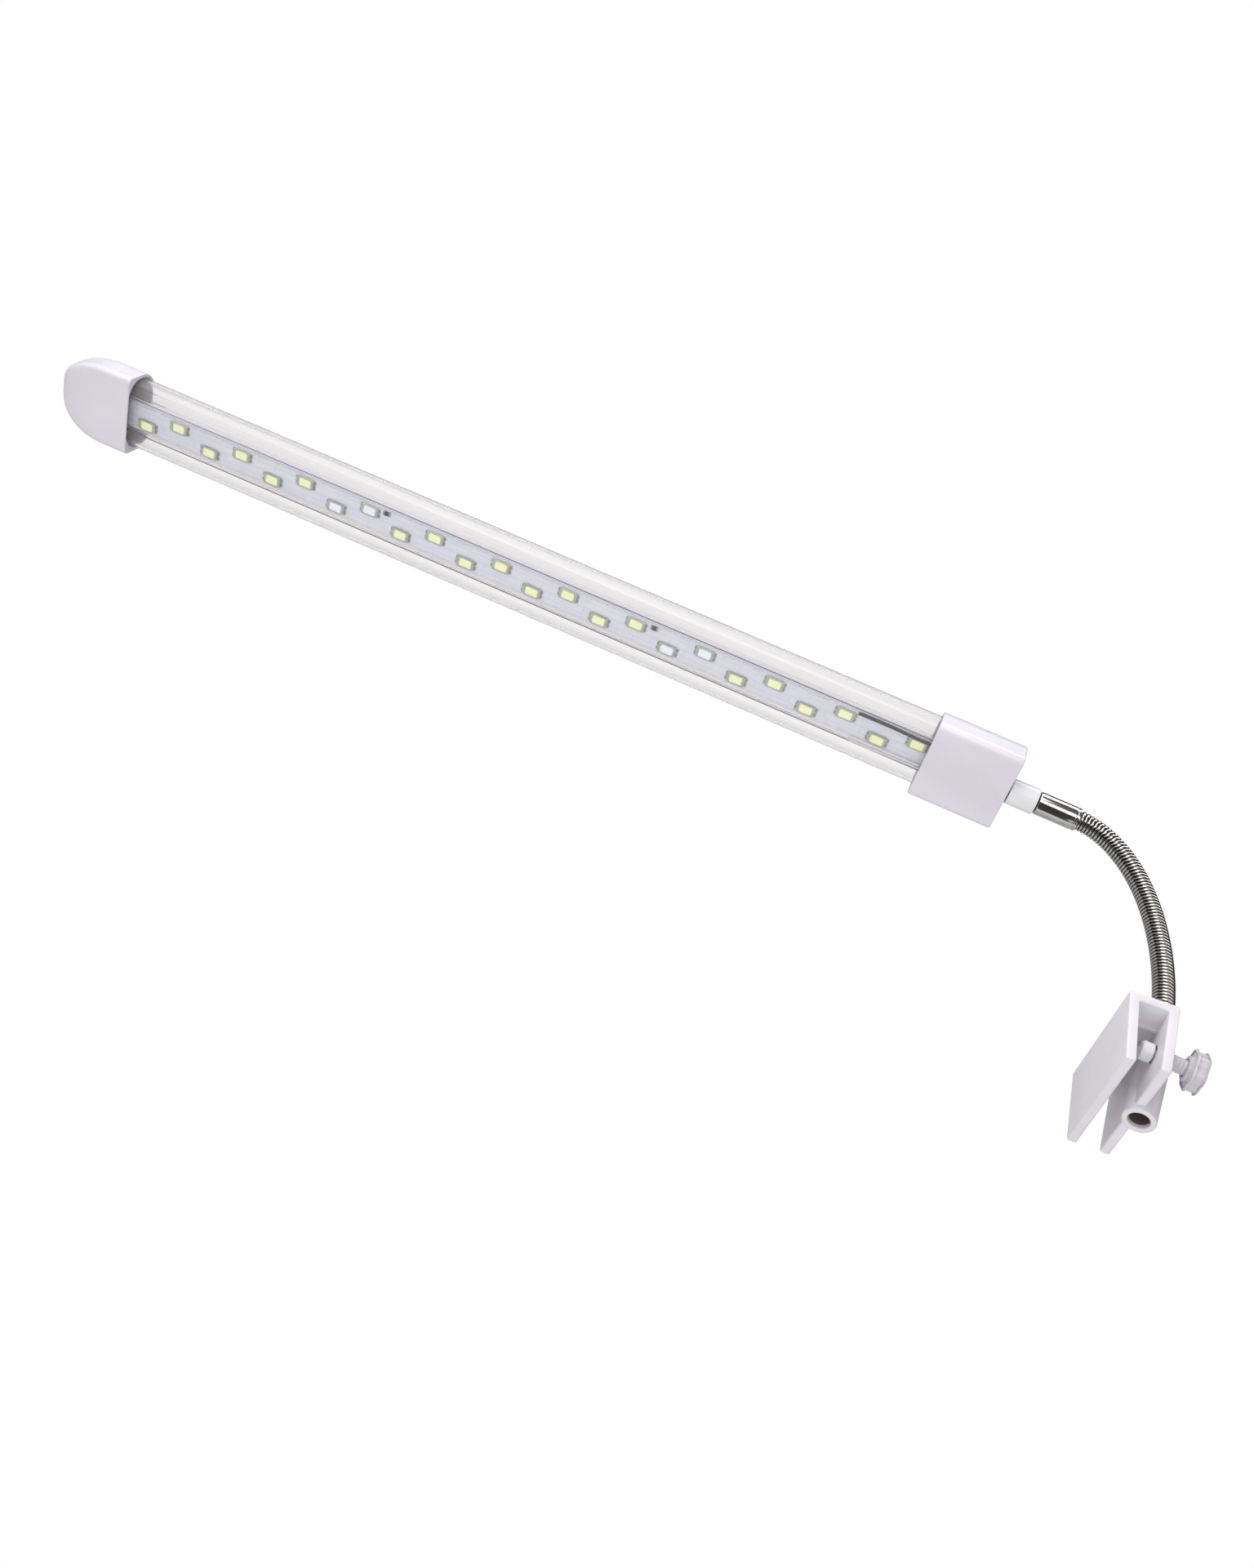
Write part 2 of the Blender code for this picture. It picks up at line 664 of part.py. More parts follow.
def build_led(number, material, parent):
    """One lamp: a flat package with a shallow window in the face that shines down."""
    station = (number - 1 - (LED_COUNT - 1) / 2) * LED_PITCH + BAR_CENTRE
    side = LED_ROW_SPACING / 2 * (-1 if number % 2 else 1)
    base = BOARD_FACE - SOLDER_GAP + AXIS_OFFSET
    window = LED_WINDOW_MARGIN
    levels = (
        (0.0, 0.0),
        (0.0, LED_HEIGHT),
        (window, LED_HEIGHT),
        (window + LED_WINDOW_DEPTH / 2, LED_HEIGHT - LED_WINDOW_DEPTH),
    )
    rings = []
    for inset, drop in levels:
        half_width = LED_WIDTH / 2 - inset
        half_length = LED_LENGTH / 2 - inset
        corners = ((1, 1), (-1, 1), (-1, -1), (1, -1))
        ring = [(side + a * half_width, station + b * half_length, base - drop) for a, b in corners]
        rings.append(ring)
    loft(f"led_{number:02d}", rings, material, parent=parent)


def build_board(bar_frame, materials):
    bar_box(
        "led_board", 0.0, 0.0, BOARD_FACE, BOARD_BACK,
        BOARD_HALF_WIDTH, BOARD_HALF_LENGTH, materials["board"], bar_frame,
    )
    for number in range(1, LED_COUNT + 1):
        kind = "blue_led" if number in BLUE_LEDS else "white_led"
        build_led(number, materials[kind], bar_frame)
    top = BOARD_FACE - SOLDER_GAP
    for index, station in enumerate(RESISTOR_PLACES):
        bar_box(
            f"resistor_{index + 1}", RESISTOR_SIDE, station, top - RESISTOR_HEIGHT, top,
            RESISTOR_WIDTH / 2, RESISTOR_LENGTH / 2, materials["resistor"], bar_frame,
        )


def build_leads(bar_frame, materials):
    """Two supply wires from the board into the near cap."""
    for name, side in (("lead_black", 1), ("lead_white", -1)):
        across = side * LEAD_SIDE
        profile = ((LEAD_RADIUS, LEAD_START), (LEAD_RADIUS, LEAD_END))
        shifted = [(radius, station + BAR_CENTRE) for radius, station in profile]
        place = (across, 0.0, LEAD_DEPTH + AXIS_OFFSET)
        turned(name, shifted, LEAD_SIDES, materials[name], parent=bar_frame, location=place)


def main():
    clear_scene()
    materials = {
        "white_plastic": make_material("white_plastic", (0.87, 0.85, 0.89), 0.35),
        "clear_acrylic": make_material("clear_acrylic", (0.95, 0.95, 0.97), 0.05, transmission=0.9),
        "board": make_material("board", (0.66, 0.69, 0.76), 0.45),
        "white_led": make_material("white_led", (0.86, 0.90, 0.62), 0.4),
        "blue_led": make_material("blue_led", (0.80, 0.86, 0.92), 0.35),
        "resistor": make_material("resistor", (0.06, 0.06, 0.07), 0.5),
        "chrome": make_material("chrome", (0.62, 0.61, 0.58), 0.18, metallic=1.0),
        "lead_black": make_material("lead_black", (0.03, 0.03, 0.03), 0.5),
        "lead_white": make_material("lead_white", (0.8, 0.8, 0.8), 0.5),
    }
    plastic = materials["white_plastic"]
    chrome = materials["chrome"]

    face_middle = (CLAMP_HEIGHT + CLAMP_WALL) / 2
    clamp_frame = frame("clamp_frame", (0.0, -CLAMP_WALL, face_middle), (0.0, 0.0, 0.0))
    hinge_line = (0.0, CLAMP_DEPTH, 0.0)
    leg_frame = frame("leg_frame", hinge_line, (-LEG_LEAN, 0.0, 0.0), parent=clamp_frame)
    neck_start = leg_point(BOSS_OFFSET, BOSS_TOP)
    boss_origin = (
        0.0, neck_start[0] - BOSS_TOP * math.sin(NECK_BASE_TILT), neck_start[1] - BOSS_TOP * math.cos(NECK_BASE_TILT)
    )
    boss_frame = frame("boss_frame", boss_origin, (-NECK_BASE_TILT, 0.0, 0.0), parent=clamp_frame)
    build_clamp(clamp_frame, leg_frame, boss_frame, plastic)
    screw_place = (SCREW_SIDE, 0.0, SCREW_LEVEL)
    screw_frame = frame("screw_frame", screw_place, (0.0, 0.0, 0.0), parent=leg_frame)
    build_screw(screw_frame, plastic)

    neck_frame = frame("neck_frame", (0.0, *neck_start), (0.0, 0.0, BAR_YAW), parent=clamp_frame)
    curve = neck_curve()
    build_neck(neck_frame, curve, chrome)

    _, end_y, end_z, _ = curve[-1]
    bar_turn = (-BAR_PITCH, BAR_ROLL, 0.0)
    bar_frame = frame("bar_frame", (0.0, end_y, end_z), bar_turn, "YXZ", neck_frame)
    build_ferrule(bar_frame, chrome)
    build_collar(bar_frame, plastic)
    build_near_cap(bar_frame, plastic)
    build_far_cap(bar_frame, plastic)
    build_tube(bar_frame, materials["clear_acrylic"])
    build_board(bar_frame, materials)
    build_leads(bar_frame, materials)


main()
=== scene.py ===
"""Looks of the clip-on aquarium light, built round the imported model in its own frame, in metres."""
import math

import bmesh
import bpy
from mathutils import Euler, Matrix, Vector
from mathutils.geometry import tessellate_polygon


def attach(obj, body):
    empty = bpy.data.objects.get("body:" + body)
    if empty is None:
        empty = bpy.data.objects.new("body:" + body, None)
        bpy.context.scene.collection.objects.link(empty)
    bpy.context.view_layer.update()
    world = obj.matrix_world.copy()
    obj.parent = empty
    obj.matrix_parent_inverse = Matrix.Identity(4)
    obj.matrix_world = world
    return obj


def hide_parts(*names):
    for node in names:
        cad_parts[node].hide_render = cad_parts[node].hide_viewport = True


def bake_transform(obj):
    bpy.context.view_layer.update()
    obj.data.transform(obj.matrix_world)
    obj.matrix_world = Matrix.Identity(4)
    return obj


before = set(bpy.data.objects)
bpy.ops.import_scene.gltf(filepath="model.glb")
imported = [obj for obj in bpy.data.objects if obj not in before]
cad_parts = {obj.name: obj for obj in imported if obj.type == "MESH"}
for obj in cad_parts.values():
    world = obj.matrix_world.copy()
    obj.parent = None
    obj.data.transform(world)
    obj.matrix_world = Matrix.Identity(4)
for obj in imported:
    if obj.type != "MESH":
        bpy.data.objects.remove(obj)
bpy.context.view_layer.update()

MM = 0.001

# Clamp, as in the CAD part.
CLAMP_WIDTH = 31.4 * MM
CLAMP_HEIGHT = 18.9 * MM
CLAMP_DEPTH = 11.0 * MM
CLAMP_WALL = 2.2 * MM
CLAMP_CORNER = 0.55 * MM
CHANNEL_LIP = 0.3 * MM
CHANNEL_LIP_STEPS = 4
LEG_LEAN = math.radians(4.5)
RIB_COUNT = 4
RIB_THICKNESS = 1.0 * MM
RIB_DEPTH = 1.4 * MM
RIB_SPACING = 6.4 * MM
RIB_LIP = 0.16 * MM
RIB_SIDE_SHARE = 0.6
RIB_TOP_SHARE = 0.5
BOSS_RADIUS = 3.6 * MM
BOSS_BORE = 2.3 * MM
BOSS_OFFSET = 1.5 * MM
BOSS_TOP = 2.0 * MM
BOSS_BOTTOM = -20.4 * MM
BOSS_SEAT = 0.2 * MM
BOSS_LIP = 0.5 * MM
BOSS_LIP_STEPS = 4
BOSS_SIDES = 72
HOLE_SIDES = 48
BORE_SHADE_GAP = 0.02 * MM
BORE_SHADE_WALL = 0.25 * MM
BORE_SHADE_BOTTOM_GAP = 1.1 * MM
BORE_SHADE_TOP_GAP = 1.6 * MM

# Thumbscrew: shaft, knob and pressure pad.
SCREW_SIDE = 9.4 * MM
SCREW_LEVEL = -9.9 * MM
SCREW_RADIUS = 1.75 * MM
SCREW_HOLE = 2.05 * MM
SCREW_TIP_RADIUS = 1.1 * MM
SCREW_TIP_END = -4.0 * MM
SCREW_NECK_END = -2.8 * MM
SCREW_END = 7.2 * MM
SCREW_TIP_SHARE = 0.5
SCREW_TIP_TAPER = 0.5 * MM
SCREW_TIP_REACH = 1.0 * MM
SCREW_TIP_LIP = 0.25 * MM
SCREW_TIP_STEPS = 3
SCREW_SIDES = 48
THREAD_PITCH = 0.8 * MM
THREAD_DEPTH = 0.14 * MM
THREAD_START_GAP = 1.5 * MM
THREAD_END_GAP = 0.4 * MM
THREAD_SAMPLES = 10
THREAD_CREST = 1.35
KNOB_RADIUS = 4.75 * MM
KNOB_LOBES = 6
KNOB_LOBE_DEPTH = 0.55 * MM
KNOB_NOTCH_ROUND = 0.03
KNOB_INNER = 5.4 * MM
KNOB_OUTER = 8.3 * MM
KNOB_HUB_RADIUS = 2.8 * MM
KNOB_HUB_LENGTH = 0.8 * MM
KNOB_HUB_LIP = 0.15 * MM
KNOB_HUB_FILLET = 0.2 * MM
KNOB_HUB_FILLET_START = 0.1 * MM
KNOB_SOCKET_RADIUS = 2.05 * MM
KNOB_SOCKET_GAP = 0.3 * MM
KNOB_FLANGE = 0.45 * MM
KNOB_FLANGE_STEPS = 5
KNOB_POINTS = 144
# The knob's dished outer face: (share of its radius, depth).
KNOB_DISH = ((0.68, 0.0), (0.64, 0.12 * MM), (0.60, 0.3 * MM), (0.1, 0.3 * MM))
PAD_RADIUS = 2.15 * MM
PAD_BACK = -2.5 * MM
PAD_FRONT = -5.1 * MM
PAD_SOCKET_RADIUS = 1.4 * MM
PAD_SOCKET_END = -4.3 * MM
PAD_FACE_SHARE = 0.2
PAD_LIP = 0.8 * MM
PAD_LIP_STEPS = 8
PAD_SIDES = 64

# Neck centre line, as in the CAD part, and the wound strip round it.
NECK_RADIUS = 2.6 * MM
NECK_CORE = 1.2 * MM
NECK_LINKS = 13
NECK_STRAIGHT = 3.2 * MM
NECK_LENGTH = 74.3 * MM
NECK_ROOT_LENGTH = 3.0 * MM
NECK_BASE_TILT = math.radians(8.3)
NECK_EVEN_SHARE = 0.45
NECK_TURN_POWER = 6.0
NECK_STEPS = 480
STRIP_TURNS_PER_LINK = 6
STRIP_GROOVE = 0.30 * MM
STRIP_SAMPLES = 10
STRIP_SIDES = 40
STRIP_ROUNDNESS = 0.7
STRIP_LEAST_STEPS = 12
STRIP_FOOT = 0.4 * MM
STRIP_FOOT_RADIUS = 1.8 * MM
STRIP_END_GAP = 0.05 * MM

# Light bar, as in the CAD part.
BAR_YAW = math.radians(2.6)
BAR_PITCH = math.radians(3.8)
BAR_ROLL = math.radians(-9.3)
AXIS_OFFSET = 2.6 * MM
BAR_CENTRE = -159.5 * MM
TUBE_HALF_WIDTH = 9.95 * MM
TUBE_HALF_DEPTH = 5.3 * MM
TUBE_CORNER = 5.15 * MM
TUBE_WALL = 0.9 * MM
TUBE_HALF_LENGTH = 130.5 * MM
RAIL_INNER = 4.4 * MM
RAIL_OUTER = 5.0 * MM
RAIL_LIP = 3.7 * MM
RAIL_LIP_HEIGHT = 0.6 * MM
RAIL_MARGIN = 0.2 * MM
BOARD_FIT = 0.3 * MM
CAP_HALF_WIDTH = 11.3 * MM
CAP_HALF_DEPTH = 6.2 * MM
CAP_CORNER = 1.8 * MM
CAP_BACK_CORNER = 6.05 * MM
CAP_FIT = 0.3 * MM
CAP_CORNER_SHARE = 0.6
CAP_EDGE = 0.4 * MM
CAP_EDGE_STEPS = 5
# A cap's mouth opens out towards its rim: (how much wider than the socket, how far inside the rim).
CAP_MOUTH = ((0.0, 0.25 * MM), (0.06 * MM, 0.07 * MM), (0.2 * MM, 0.0))
CAP_MOUTH_EDGE = 0.3 * MM
CAP_MOUTH_STEPS = 4
CAP_HOLE_EDGE = 0.15 * MM
DOME_SWEEP = math.radians(88.5)
DOME_WIDTH_POWER = 0.9
DOME_DEPTH_POWER = 0.6
DOME_STEPS = 28
DOME_INNER_STEPS = 8
DOME_HOLLOW_SHARE = 0.8
NEAR_CAP_OPEN = 117.9 * MM
NEAR_CAP_END = 140.6 * MM
NEAR_CAP_FLOOR = 138.4 * MM
FAR_CAP_OPEN = -119.4 * MM
FAR_CAP_DOME = -127.6 * MM
FAR_CAP_TIP = -143.0 * MM
FAR_CAP_INNER_TIP = -141.5 * MM
COLLAR_RADIUS = 3.45 * MM
COLLAR_BORE = 2.5 * MM
COLLAR_START = 140.9 * MM
COLLAR_END = 148.2 * MM
COLLAR_LIP = 0.5 * MM
COLLAR_LIP_STEPS = 5
FERRULE_RADIUS = 3.05 * MM
FERRULE_SPIGOT = 2.15 * MM
FERRULE_HEAD_RADIUS = 2.85 * MM
FERRULE_HEAD_START = 135.6 * MM
FERRULE_HEAD_END = 137.9 * MM
FERRULE_START = 148.5 * MM
FERRULE_END = 159.5 * MM
FERRULE_BORE = 1.2 * MM
FERRULE_LIP = 0.35 * MM
FERRULE_LIP_STEPS = 4
FERRULE_GROOVE = 0.12 * MM
# How far the corners of the groove's outline lie from the ferrule's end.
FERRULE_GROOVE_CORNERS = (1.2 * MM, 1.1 * MM, 0.8 * MM, 0.7 * MM)
BOARD_HALF_WIDTH = 4.1 * MM
BOARD_FACE = -2.0 * MM
BOARD_BACK = -1.0 * MM
BOARD_HALF_LENGTH = 127.0 * MM
BOARD_LIP = 0.06 * MM
LED_COUNT = 24
LED_PITCH = 10.0 * MM
LED_ROW_SPACING = 3.3 * MM
LED_LENGTH = 5.7 * MM
LED_WIDTH = 3.0 * MM
LED_HEIGHT = 0.8 * MM
SOLDER_GAP = 0.1 * MM
BLUE_LEDS = (7, 8, 17, 18)
LED_POINTS = 32
PACKAGE_CORNER = 0.18 * MM
PACKAGE_END = 0.3 * MM
WINDOW_END = 0.72 * MM
FILLING_END = 0.75 * MM
# Outlines as (inset, height over the lamp's foot, corner radius, how much shorter at each end). The package's
# go up its sides, over its rim and down into its window. The filling's go from its foot to its middle.
PACKAGE = (
    (0.10 * MM, 0.0, PACKAGE_CORNER, PACKAGE_END),
    (0.02 * MM, 0.10 * MM, PACKAGE_CORNER, PACKAGE_END),
    (0.0, 0.35 * MM, PACKAGE_CORNER, PACKAGE_END),
    (0.04 * MM, LED_HEIGHT - 0.08 * MM, PACKAGE_CORNER, PACKAGE_END),
    (0.12 * MM, LED_HEIGHT, PACKAGE_CORNER, PACKAGE_END),
    (0.24 * MM, LED_HEIGHT, 0.5 * MM, WINDOW_END),
    (0.30 * MM, LED_HEIGHT - 0.05 * MM, 0.5 * MM, WINDOW_END),
    (0.48 * MM, LED_HEIGHT - 0.42 * MM, 0.4 * MM, WINDOW_END),
)
FILLING = (
    (0.43 * MM, LED_HEIGHT - 0.40 * MM, 0.4 * MM, WINDOW_END),
    (0.32 * MM, LED_HEIGHT - 0.14 * MM, 0.45 * MM, WINDOW_END),
    (0.55 * MM, LED_HEIGHT - 0.10 * MM, 0.4 * MM, WINDOW_END),
    (0.95 * MM, LED_HEIGHT - 0.06 * MM, 0.3 * MM, FILLING_END),
    (1.3 * MM, LED_HEIGHT - 0.05 * MM, 0.15 * MM, FILLING_END),
)
# How much each outline of the filling takes the rim's colour, which is partly painted shade.
FILLING_RIM = (1.0, 1.0, 0.72, 0.3, 0.0)
TAB_SIDE = 0.72 * MM
TAB_END_GAP = 0.2 * MM
TAB_HALF_WIDTH = 0.5 * MM
TAB_HALF_LENGTH = 0.4 * MM
TAB_TOP = 0.2 * MM
TAB_BOTTOM = 0.02 * MM
TAB_LIP = 0.05 * MM
RESISTOR_LENGTH = 2.0 * MM
RESISTOR_WIDTH = 1.2 * MM
RESISTOR_HEIGHT = 0.5 * MM
RESISTOR_SIDE = 2.7 * MM
RESISTOR_PLACES = (-40.0 * MM, 40.0 * MM)
RESISTOR_LIP = 0.05 * MM
RESISTOR_BODY_SHARE = 0.62
RESISTOR_END_OVERLAP = 0.97
RESISTOR_END_STEP = 0.02 * MM
LEAD_RADIUS = 0.4 * MM
LEAD_SIDE = 4.0 * MM
LEAD_DEPTH = -3.55 * MM
LEAD_START = 98.0 * MM
LEAD_END = 134.0 * MM
LEAD_STEPS = 60
LEAD_POINTS = 20
LEAD_TIP_SHARE = 0.8
# Each lead wanders a little: (how far, radians along its length), sideways and in depth.
LEAD_SWAY = (0.10 * MM, 9.0)
LEAD_DIP = (0.08 * MM, 7.0)

SECTION_POINTS = 112
TUBE_POINTS = 320
ROUND_SIDES = 144
SMOOTH_DEGREES = 38.0
LOCAL = "local_mm"
GROOVE = "groove"
WINDOW = "window"
WHITE = (1.0, 1.0, 1.0, 1.0)
BLACK = (0.0, 0.0, 0.0, 1.0)
# This shift keeps the noise's own grid off flat faces, where it would show as dots.
NOISE_SHIFT = (0.371, 0.533, 0.717)
# Nearly all of the noise lies between these two.
NOISE_LOW = 0.3
NOISE_HIGH = 0.7


# ---------------------------------------------------------------- frames

def placed(location, rotation=(0.0, 0.0, 0.0), order="XYZ"):
    return Matrix.Translation(location) @ Euler(rotation, order).to_matrix().to_4x4()


def leg_point(outward, level):
    """A point of the leaning rear leg in the channel's (Y, Z) section."""
    y = CLAMP_DEPTH + outward * math.cos(LEG_LEAN) + level * math.sin(LEG_LEAN)
    z = level * math.cos(LEG_LEAN) - outward * math.sin(LEG_LEAN)
    return (y, z)


def neck_direction(share):
    """The neck's angle at a share of its length. It turns evenly at first and faster near the bar."""
    start = math.pi / 2 - NECK_BASE_TILT
    turn = math.pi - BAR_PITCH - start
    return start + turn * (NECK_EVEN_SHARE * share + (1 - NECK_EVEN_SHARE) * share**NECK_TURN_POWER)


def neck_curve():
    """Stations (distance, y, z, angle) along the neck's centre line, in its own plane."""
    stations = []
    y = 0.0
    z = 0.0
    step = NECK_LENGTH / NECK_STEPS
    for index in range(NECK_STEPS + 1):
        stations.append((index * step, y, z, neck_direction(index / NECK_STEPS)))
        middle = neck_direction((index + 0.5) / NECK_STEPS)
        y += step * math.cos(middle)
        z += step * math.sin(middle)
    return stations


CURVE = neck_curve()
CLAMP_FRAME = placed((0.0, -CLAMP_WALL, (CLAMP_HEIGHT + CLAMP_WALL) / 2))
LEG_FRAME = CLAMP_FRAME @ placed((0.0, CLAMP_DEPTH, 0.0), (-LEG_LEAN, 0.0, 0.0))
SCREW_FRAME = LEG_FRAME @ placed((SCREW_SIDE, 0.0, SCREW_LEVEL))
NECK_START = leg_point(BOSS_OFFSET, BOSS_TOP)
ROOT_FRAME = CLAMP_FRAME @ placed((0.0, *NECK_START), (-NECK_BASE_TILT, 0.0, 0.0))
BOSS_FRAME = ROOT_FRAME @ placed((0.0, 0.0, -BOSS_TOP))
NECK_FRAME = CLAMP_FRAME @ placed((0.0, *NECK_START), (0.0, 0.0, BAR_YAW))
BAR_START = NECK_FRAME @ placed((0.0, *CURVE[-1][1:3]), (-BAR_PITCH, BAR_ROLL, 0.0), "YXZ")
BAR_FRAME = BAR_START @ Matrix.Translation((0.0, BAR_CENTRE, AXIS_OFFSET))


def neck_station(distance):
    """Where the neck is at a distance along it. Past either end it runs straight on."""
    clamped = min(max(distance, 0.0), NECK_LENGTH)
    index = min(int(clamped / NECK_LENGTH * NECK_STEPS), NECK_STEPS)
    at, y, z, angle = CURVE[index]
    beyond = distance - at
    return (y + beyond * math.cos(angle), z + beyond * math.sin(angle), angle)


# ---------------------------------------------------------------- materials

def node(tree, kind, inputs=None, **values):
    """A new node with its properties and its inputs' own values set."""
    made = tree.nodes.new(kind)
    for key, value in values.items():
        setattr(made, key, value)
    for key, value in (inputs or {}).items():
        made.inputs[key].default_value = value
    return made


def noise(tree, coordinates, scale, detail=3.0, stretch=(1.0, 1.0, 1.0)):
    mapping = node(tree, "ShaderNodeMapping", {"Scale": stretch, "Location": NOISE_SHIFT})
    tree.links.new(coordinates, mapping.inputs["Vector"])
    texture = node(tree, "ShaderNodeTexNoise", {"Scale": scale, "Detail": detail})
    tree.links.new(mapping.outputs["Vector"], texture.inputs["Vector"])
    return texture.outputs["Fac"]


def spread(tree, value, low=0.0, high=1.0, start=NOISE_LOW, end=NOISE_HIGH):
    """Map a value from start..end to low..high, held at both ends."""
    limits = {"From Min": start, "From Max": end, "To Min": low, "To Max": high}
    ranged = node(tree, "ShaderNodeMapRange", limits)
    tree.links.new(value, ranged.inputs["Value"])
    return ranged.outputs["Result"]


def tint(tree, fac, dark, light):
    """Mix two colours, each given as a tuple or as another node's output."""
    mix = node(tree, "ShaderNodeMix", data_type="RGBA")
    tree.links.new(fac, mix.inputs["Factor"])
    for socket, colour in (("A", dark), ("B", light)):
        target = [s for s in mix.inputs if s.name == socket and s.type == "RGBA"][0]
        if isinstance(colour, tuple):
            target.default_value = (*colour, 1.0)
        else:
            tree.links.new(colour, target)
    return [s for s in mix.outputs if s.type == "RGBA"][0]


def start_material(name, **uniform):
    """A Principled material with its uniform values set straight on the shader, and local coordinates."""
    material = bpy.data.materials.new(name)
    material.use_nodes = True
    tree = material.node_tree
    shader = tree.nodes["Principled BSDF"]
    for key, value in uniform.items():
        shader.inputs[key.replace("_", " ")].default_value = value
    local = node(tree, "ShaderNodeAttribute", attribute_name=LOCAL)
    return material, tree, shader, local.outputs["Vector"]


def bump(tree, shader, height, strength, distance):
    made = node(tree, "ShaderNodeBump", {"Strength": strength, "Distance": distance})
    tree.links.new(height, made.inputs["Height"])
    tree.links.new(made.outputs["Normal"], shader.inputs["Normal"])


def plastic(name, dark, light, smooth, dull):
    """Moulded plastic: a slow flow tint, handling marks in the gloss and a fine surface ripple."""
    material, tree, shader, local = start_material(name, Coat_Weight=0.1, Coat_Roughness=0.2, IOR=1.5)
    flow = noise(tree, local, scale=0.12, detail=2.0, stretch=(1.0, 0.35, 1.0))
    tree.links.new(tint(tree, spread(tree, flow), dark, light), shader.inputs["Base Color"])
    marks = noise(tree, local, scale=0.35, detail=2.0, stretch=(1.0, 0.4, 1.0))
    tree.links.new(spread(tree, marks, smooth, dull), shader.inputs["Roughness"])
    bump(tree, shader, noise(tree, local, scale=1.0, detail=1.0), strength=0.03, distance=0.01 * MM)
    return material


def chrome(name, dark, light, smooth, dull, stretch, groove=None):
    """Bright plated metal: drawn lines in its gloss, a little tarnish, and painted shade in any grooves."""
    material, tree, shader, local = start_material(name, Metallic=1.0, IOR=1.5)
    drawn = noise(tree, local, scale=1.6, detail=5.0, stretch=stretch)
    stain = noise(tree, local, scale=0.5)
    plate = tint(tree, spread(tree, stain), dark, light)
    if groove:
        # Painted shade: the base colour darkens towards the groove colour where the groove is deepest.
        depth = node(tree, "ShaderNodeAttribute", attribute_name=GROOVE)
        plate = tint(tree, spread(tree, depth.outputs["Fac"], start=0.05, end=0.5), plate, groove)
    tree.links.new(plate, shader.inputs["Base Color"])
    tree.links.new(spread(tree, drawn, smooth, dull), shader.inputs["Roughness"])
    return material


def clear_tube(name, dark, light, edge_on_shade, shade):
    """Clear plastic, faintly milky along its drawn lines, with painted shade that greys it where it is seen
    edge on. It hardly dims the light.
    """
    material, tree, shader, local = start_material(name, Transmission_Weight=0.95, IOR=1.25)
    drawn = noise(tree, local, scale=1.1, stretch=(1.0, 0.004, 1.0))
    milky = tint(tree, spread(tree, drawn), dark, light)
    # Painted shade: the base colour turns grey where the tube is seen edge on.
    facing = node(tree, "ShaderNodeLayerWeight", {"Blend": 0.5})
    edge = spread(tree, facing.outputs["Facing"], start=0.12, end=0.8)
    tree.links.new(tint(tree, edge, milky, edge_on_shade), shader.inputs["Base Color"])
    tree.links.new(spread(tree, drawn, high=0.02), shader.inputs["Roughness"])
    through = node(tree, "ShaderNodeBsdfTransparent", {"Color": (*shade, 1.0)})
    path = node(tree, "ShaderNodeLightPath")
    mix = node(tree, "ShaderNodeMixShader")
    tree.links.new(path.outputs["Is Shadow Ray"], mix.inputs["Fac"])
    tree.links.new(shader.outputs["BSDF"], mix.inputs[1])
    tree.links.new(through.outputs["BSDF"], mix.inputs[2])
    tree.links.new(mix.outputs["Shader"], tree.nodes["Material Output"].inputs["Surface"])
    return material


def board_mask(name, dark, light, copper):
    """White solder mask with copper runs showing faintly through it, in the board's own millimetres."""
    material, tree, shader, local = start_material(name, Coat_Weight=0.2, Coat_Roughness=0.2, IOR=1.5)
    split = node(tree, "ShaderNodeSeparateXYZ")
    tree.links.new(local, split.inputs["Vector"])
    # Long panels side by side, each one lamp's pitch long. Thin copper lines run between them.
    bricks = node(tree, "ShaderNodeTexBrick", {
        "Scale": 1.0,
        "Brick Width": 10.0,
        "Row Height": 2.05,
        "Mortar Size": 0.16,
        "Mortar Smooth": 0.4,
        "Color1": BLACK,
        "Color2": (0.25, 0.25, 0.25, 1.0),
        "Mortar": WHITE,
    }, offset=0.5)
    turn = node(tree, "ShaderNodeCombineXYZ")
    tree.links.new(split.outputs["Y"], turn.inputs["X"])
    tree.links.new(split.outputs["X"], turn.inputs["Y"])
    tree.links.new(turn.outputs["Vector"], bricks.inputs["Vector"])
    cloud = noise(tree, local, scale=0.35, detail=4.0)
    base = tint(tree, spread(tree, cloud), dark, light)
    runs = tint(tree, bricks.outputs["Color"], base, copper)
    tree.links.new(runs, shader.inputs["Base Color"])
    tree.links.new(spread(tree, noise(tree, local, scale=1.4), 0.34, 0.5), shader.inputs["Roughness"])
    bump(tree, shader, bricks.outputs["Color"], strength=0.25, distance=0.03 * MM)
    return material


def phosphor(name, rim, middle, grain_dip=0.94, glow=0.16):
    """Lamp filling: its own colour in the middle of its window, a darker rim colour that is partly its own
    tone and partly painted shade from the cavity wall, and a faint glow.
    """
    material, tree, shader, local = start_material(
        name, Subsurface_Weight=0.12, Subsurface_Scale=0.6 * MM, Coat_Weight=0.5, Coat_Roughness=0.15,
    )
    centred = node(tree, "ShaderNodeAttribute", attribute_name=WINDOW)
    grain = noise(tree, local, scale=6.0)
    dipped = tuple(value * grain_dip for value in middle)
    mottled = tint(tree, spread(tree, grain, start=0.35, end=0.65), middle, dipped)
    # The rim's darker colour is partly painted shade where the filling meets the cavity wall.
    toward_rim = spread(tree, centred.outputs["Fac"], start=0.55, end=1.0)
    tree.links.new(tint(tree, toward_rim, mottled, rim), shader.inputs["Base Color"])
    tree.links.new(spread(tree, grain, 0.3, 0.45), shader.inputs["Roughness"])
    shader.inputs["Emission Color"].default_value = (*middle, 1.0)
    shader.inputs["Emission Strength"].default_value = glow
    return material


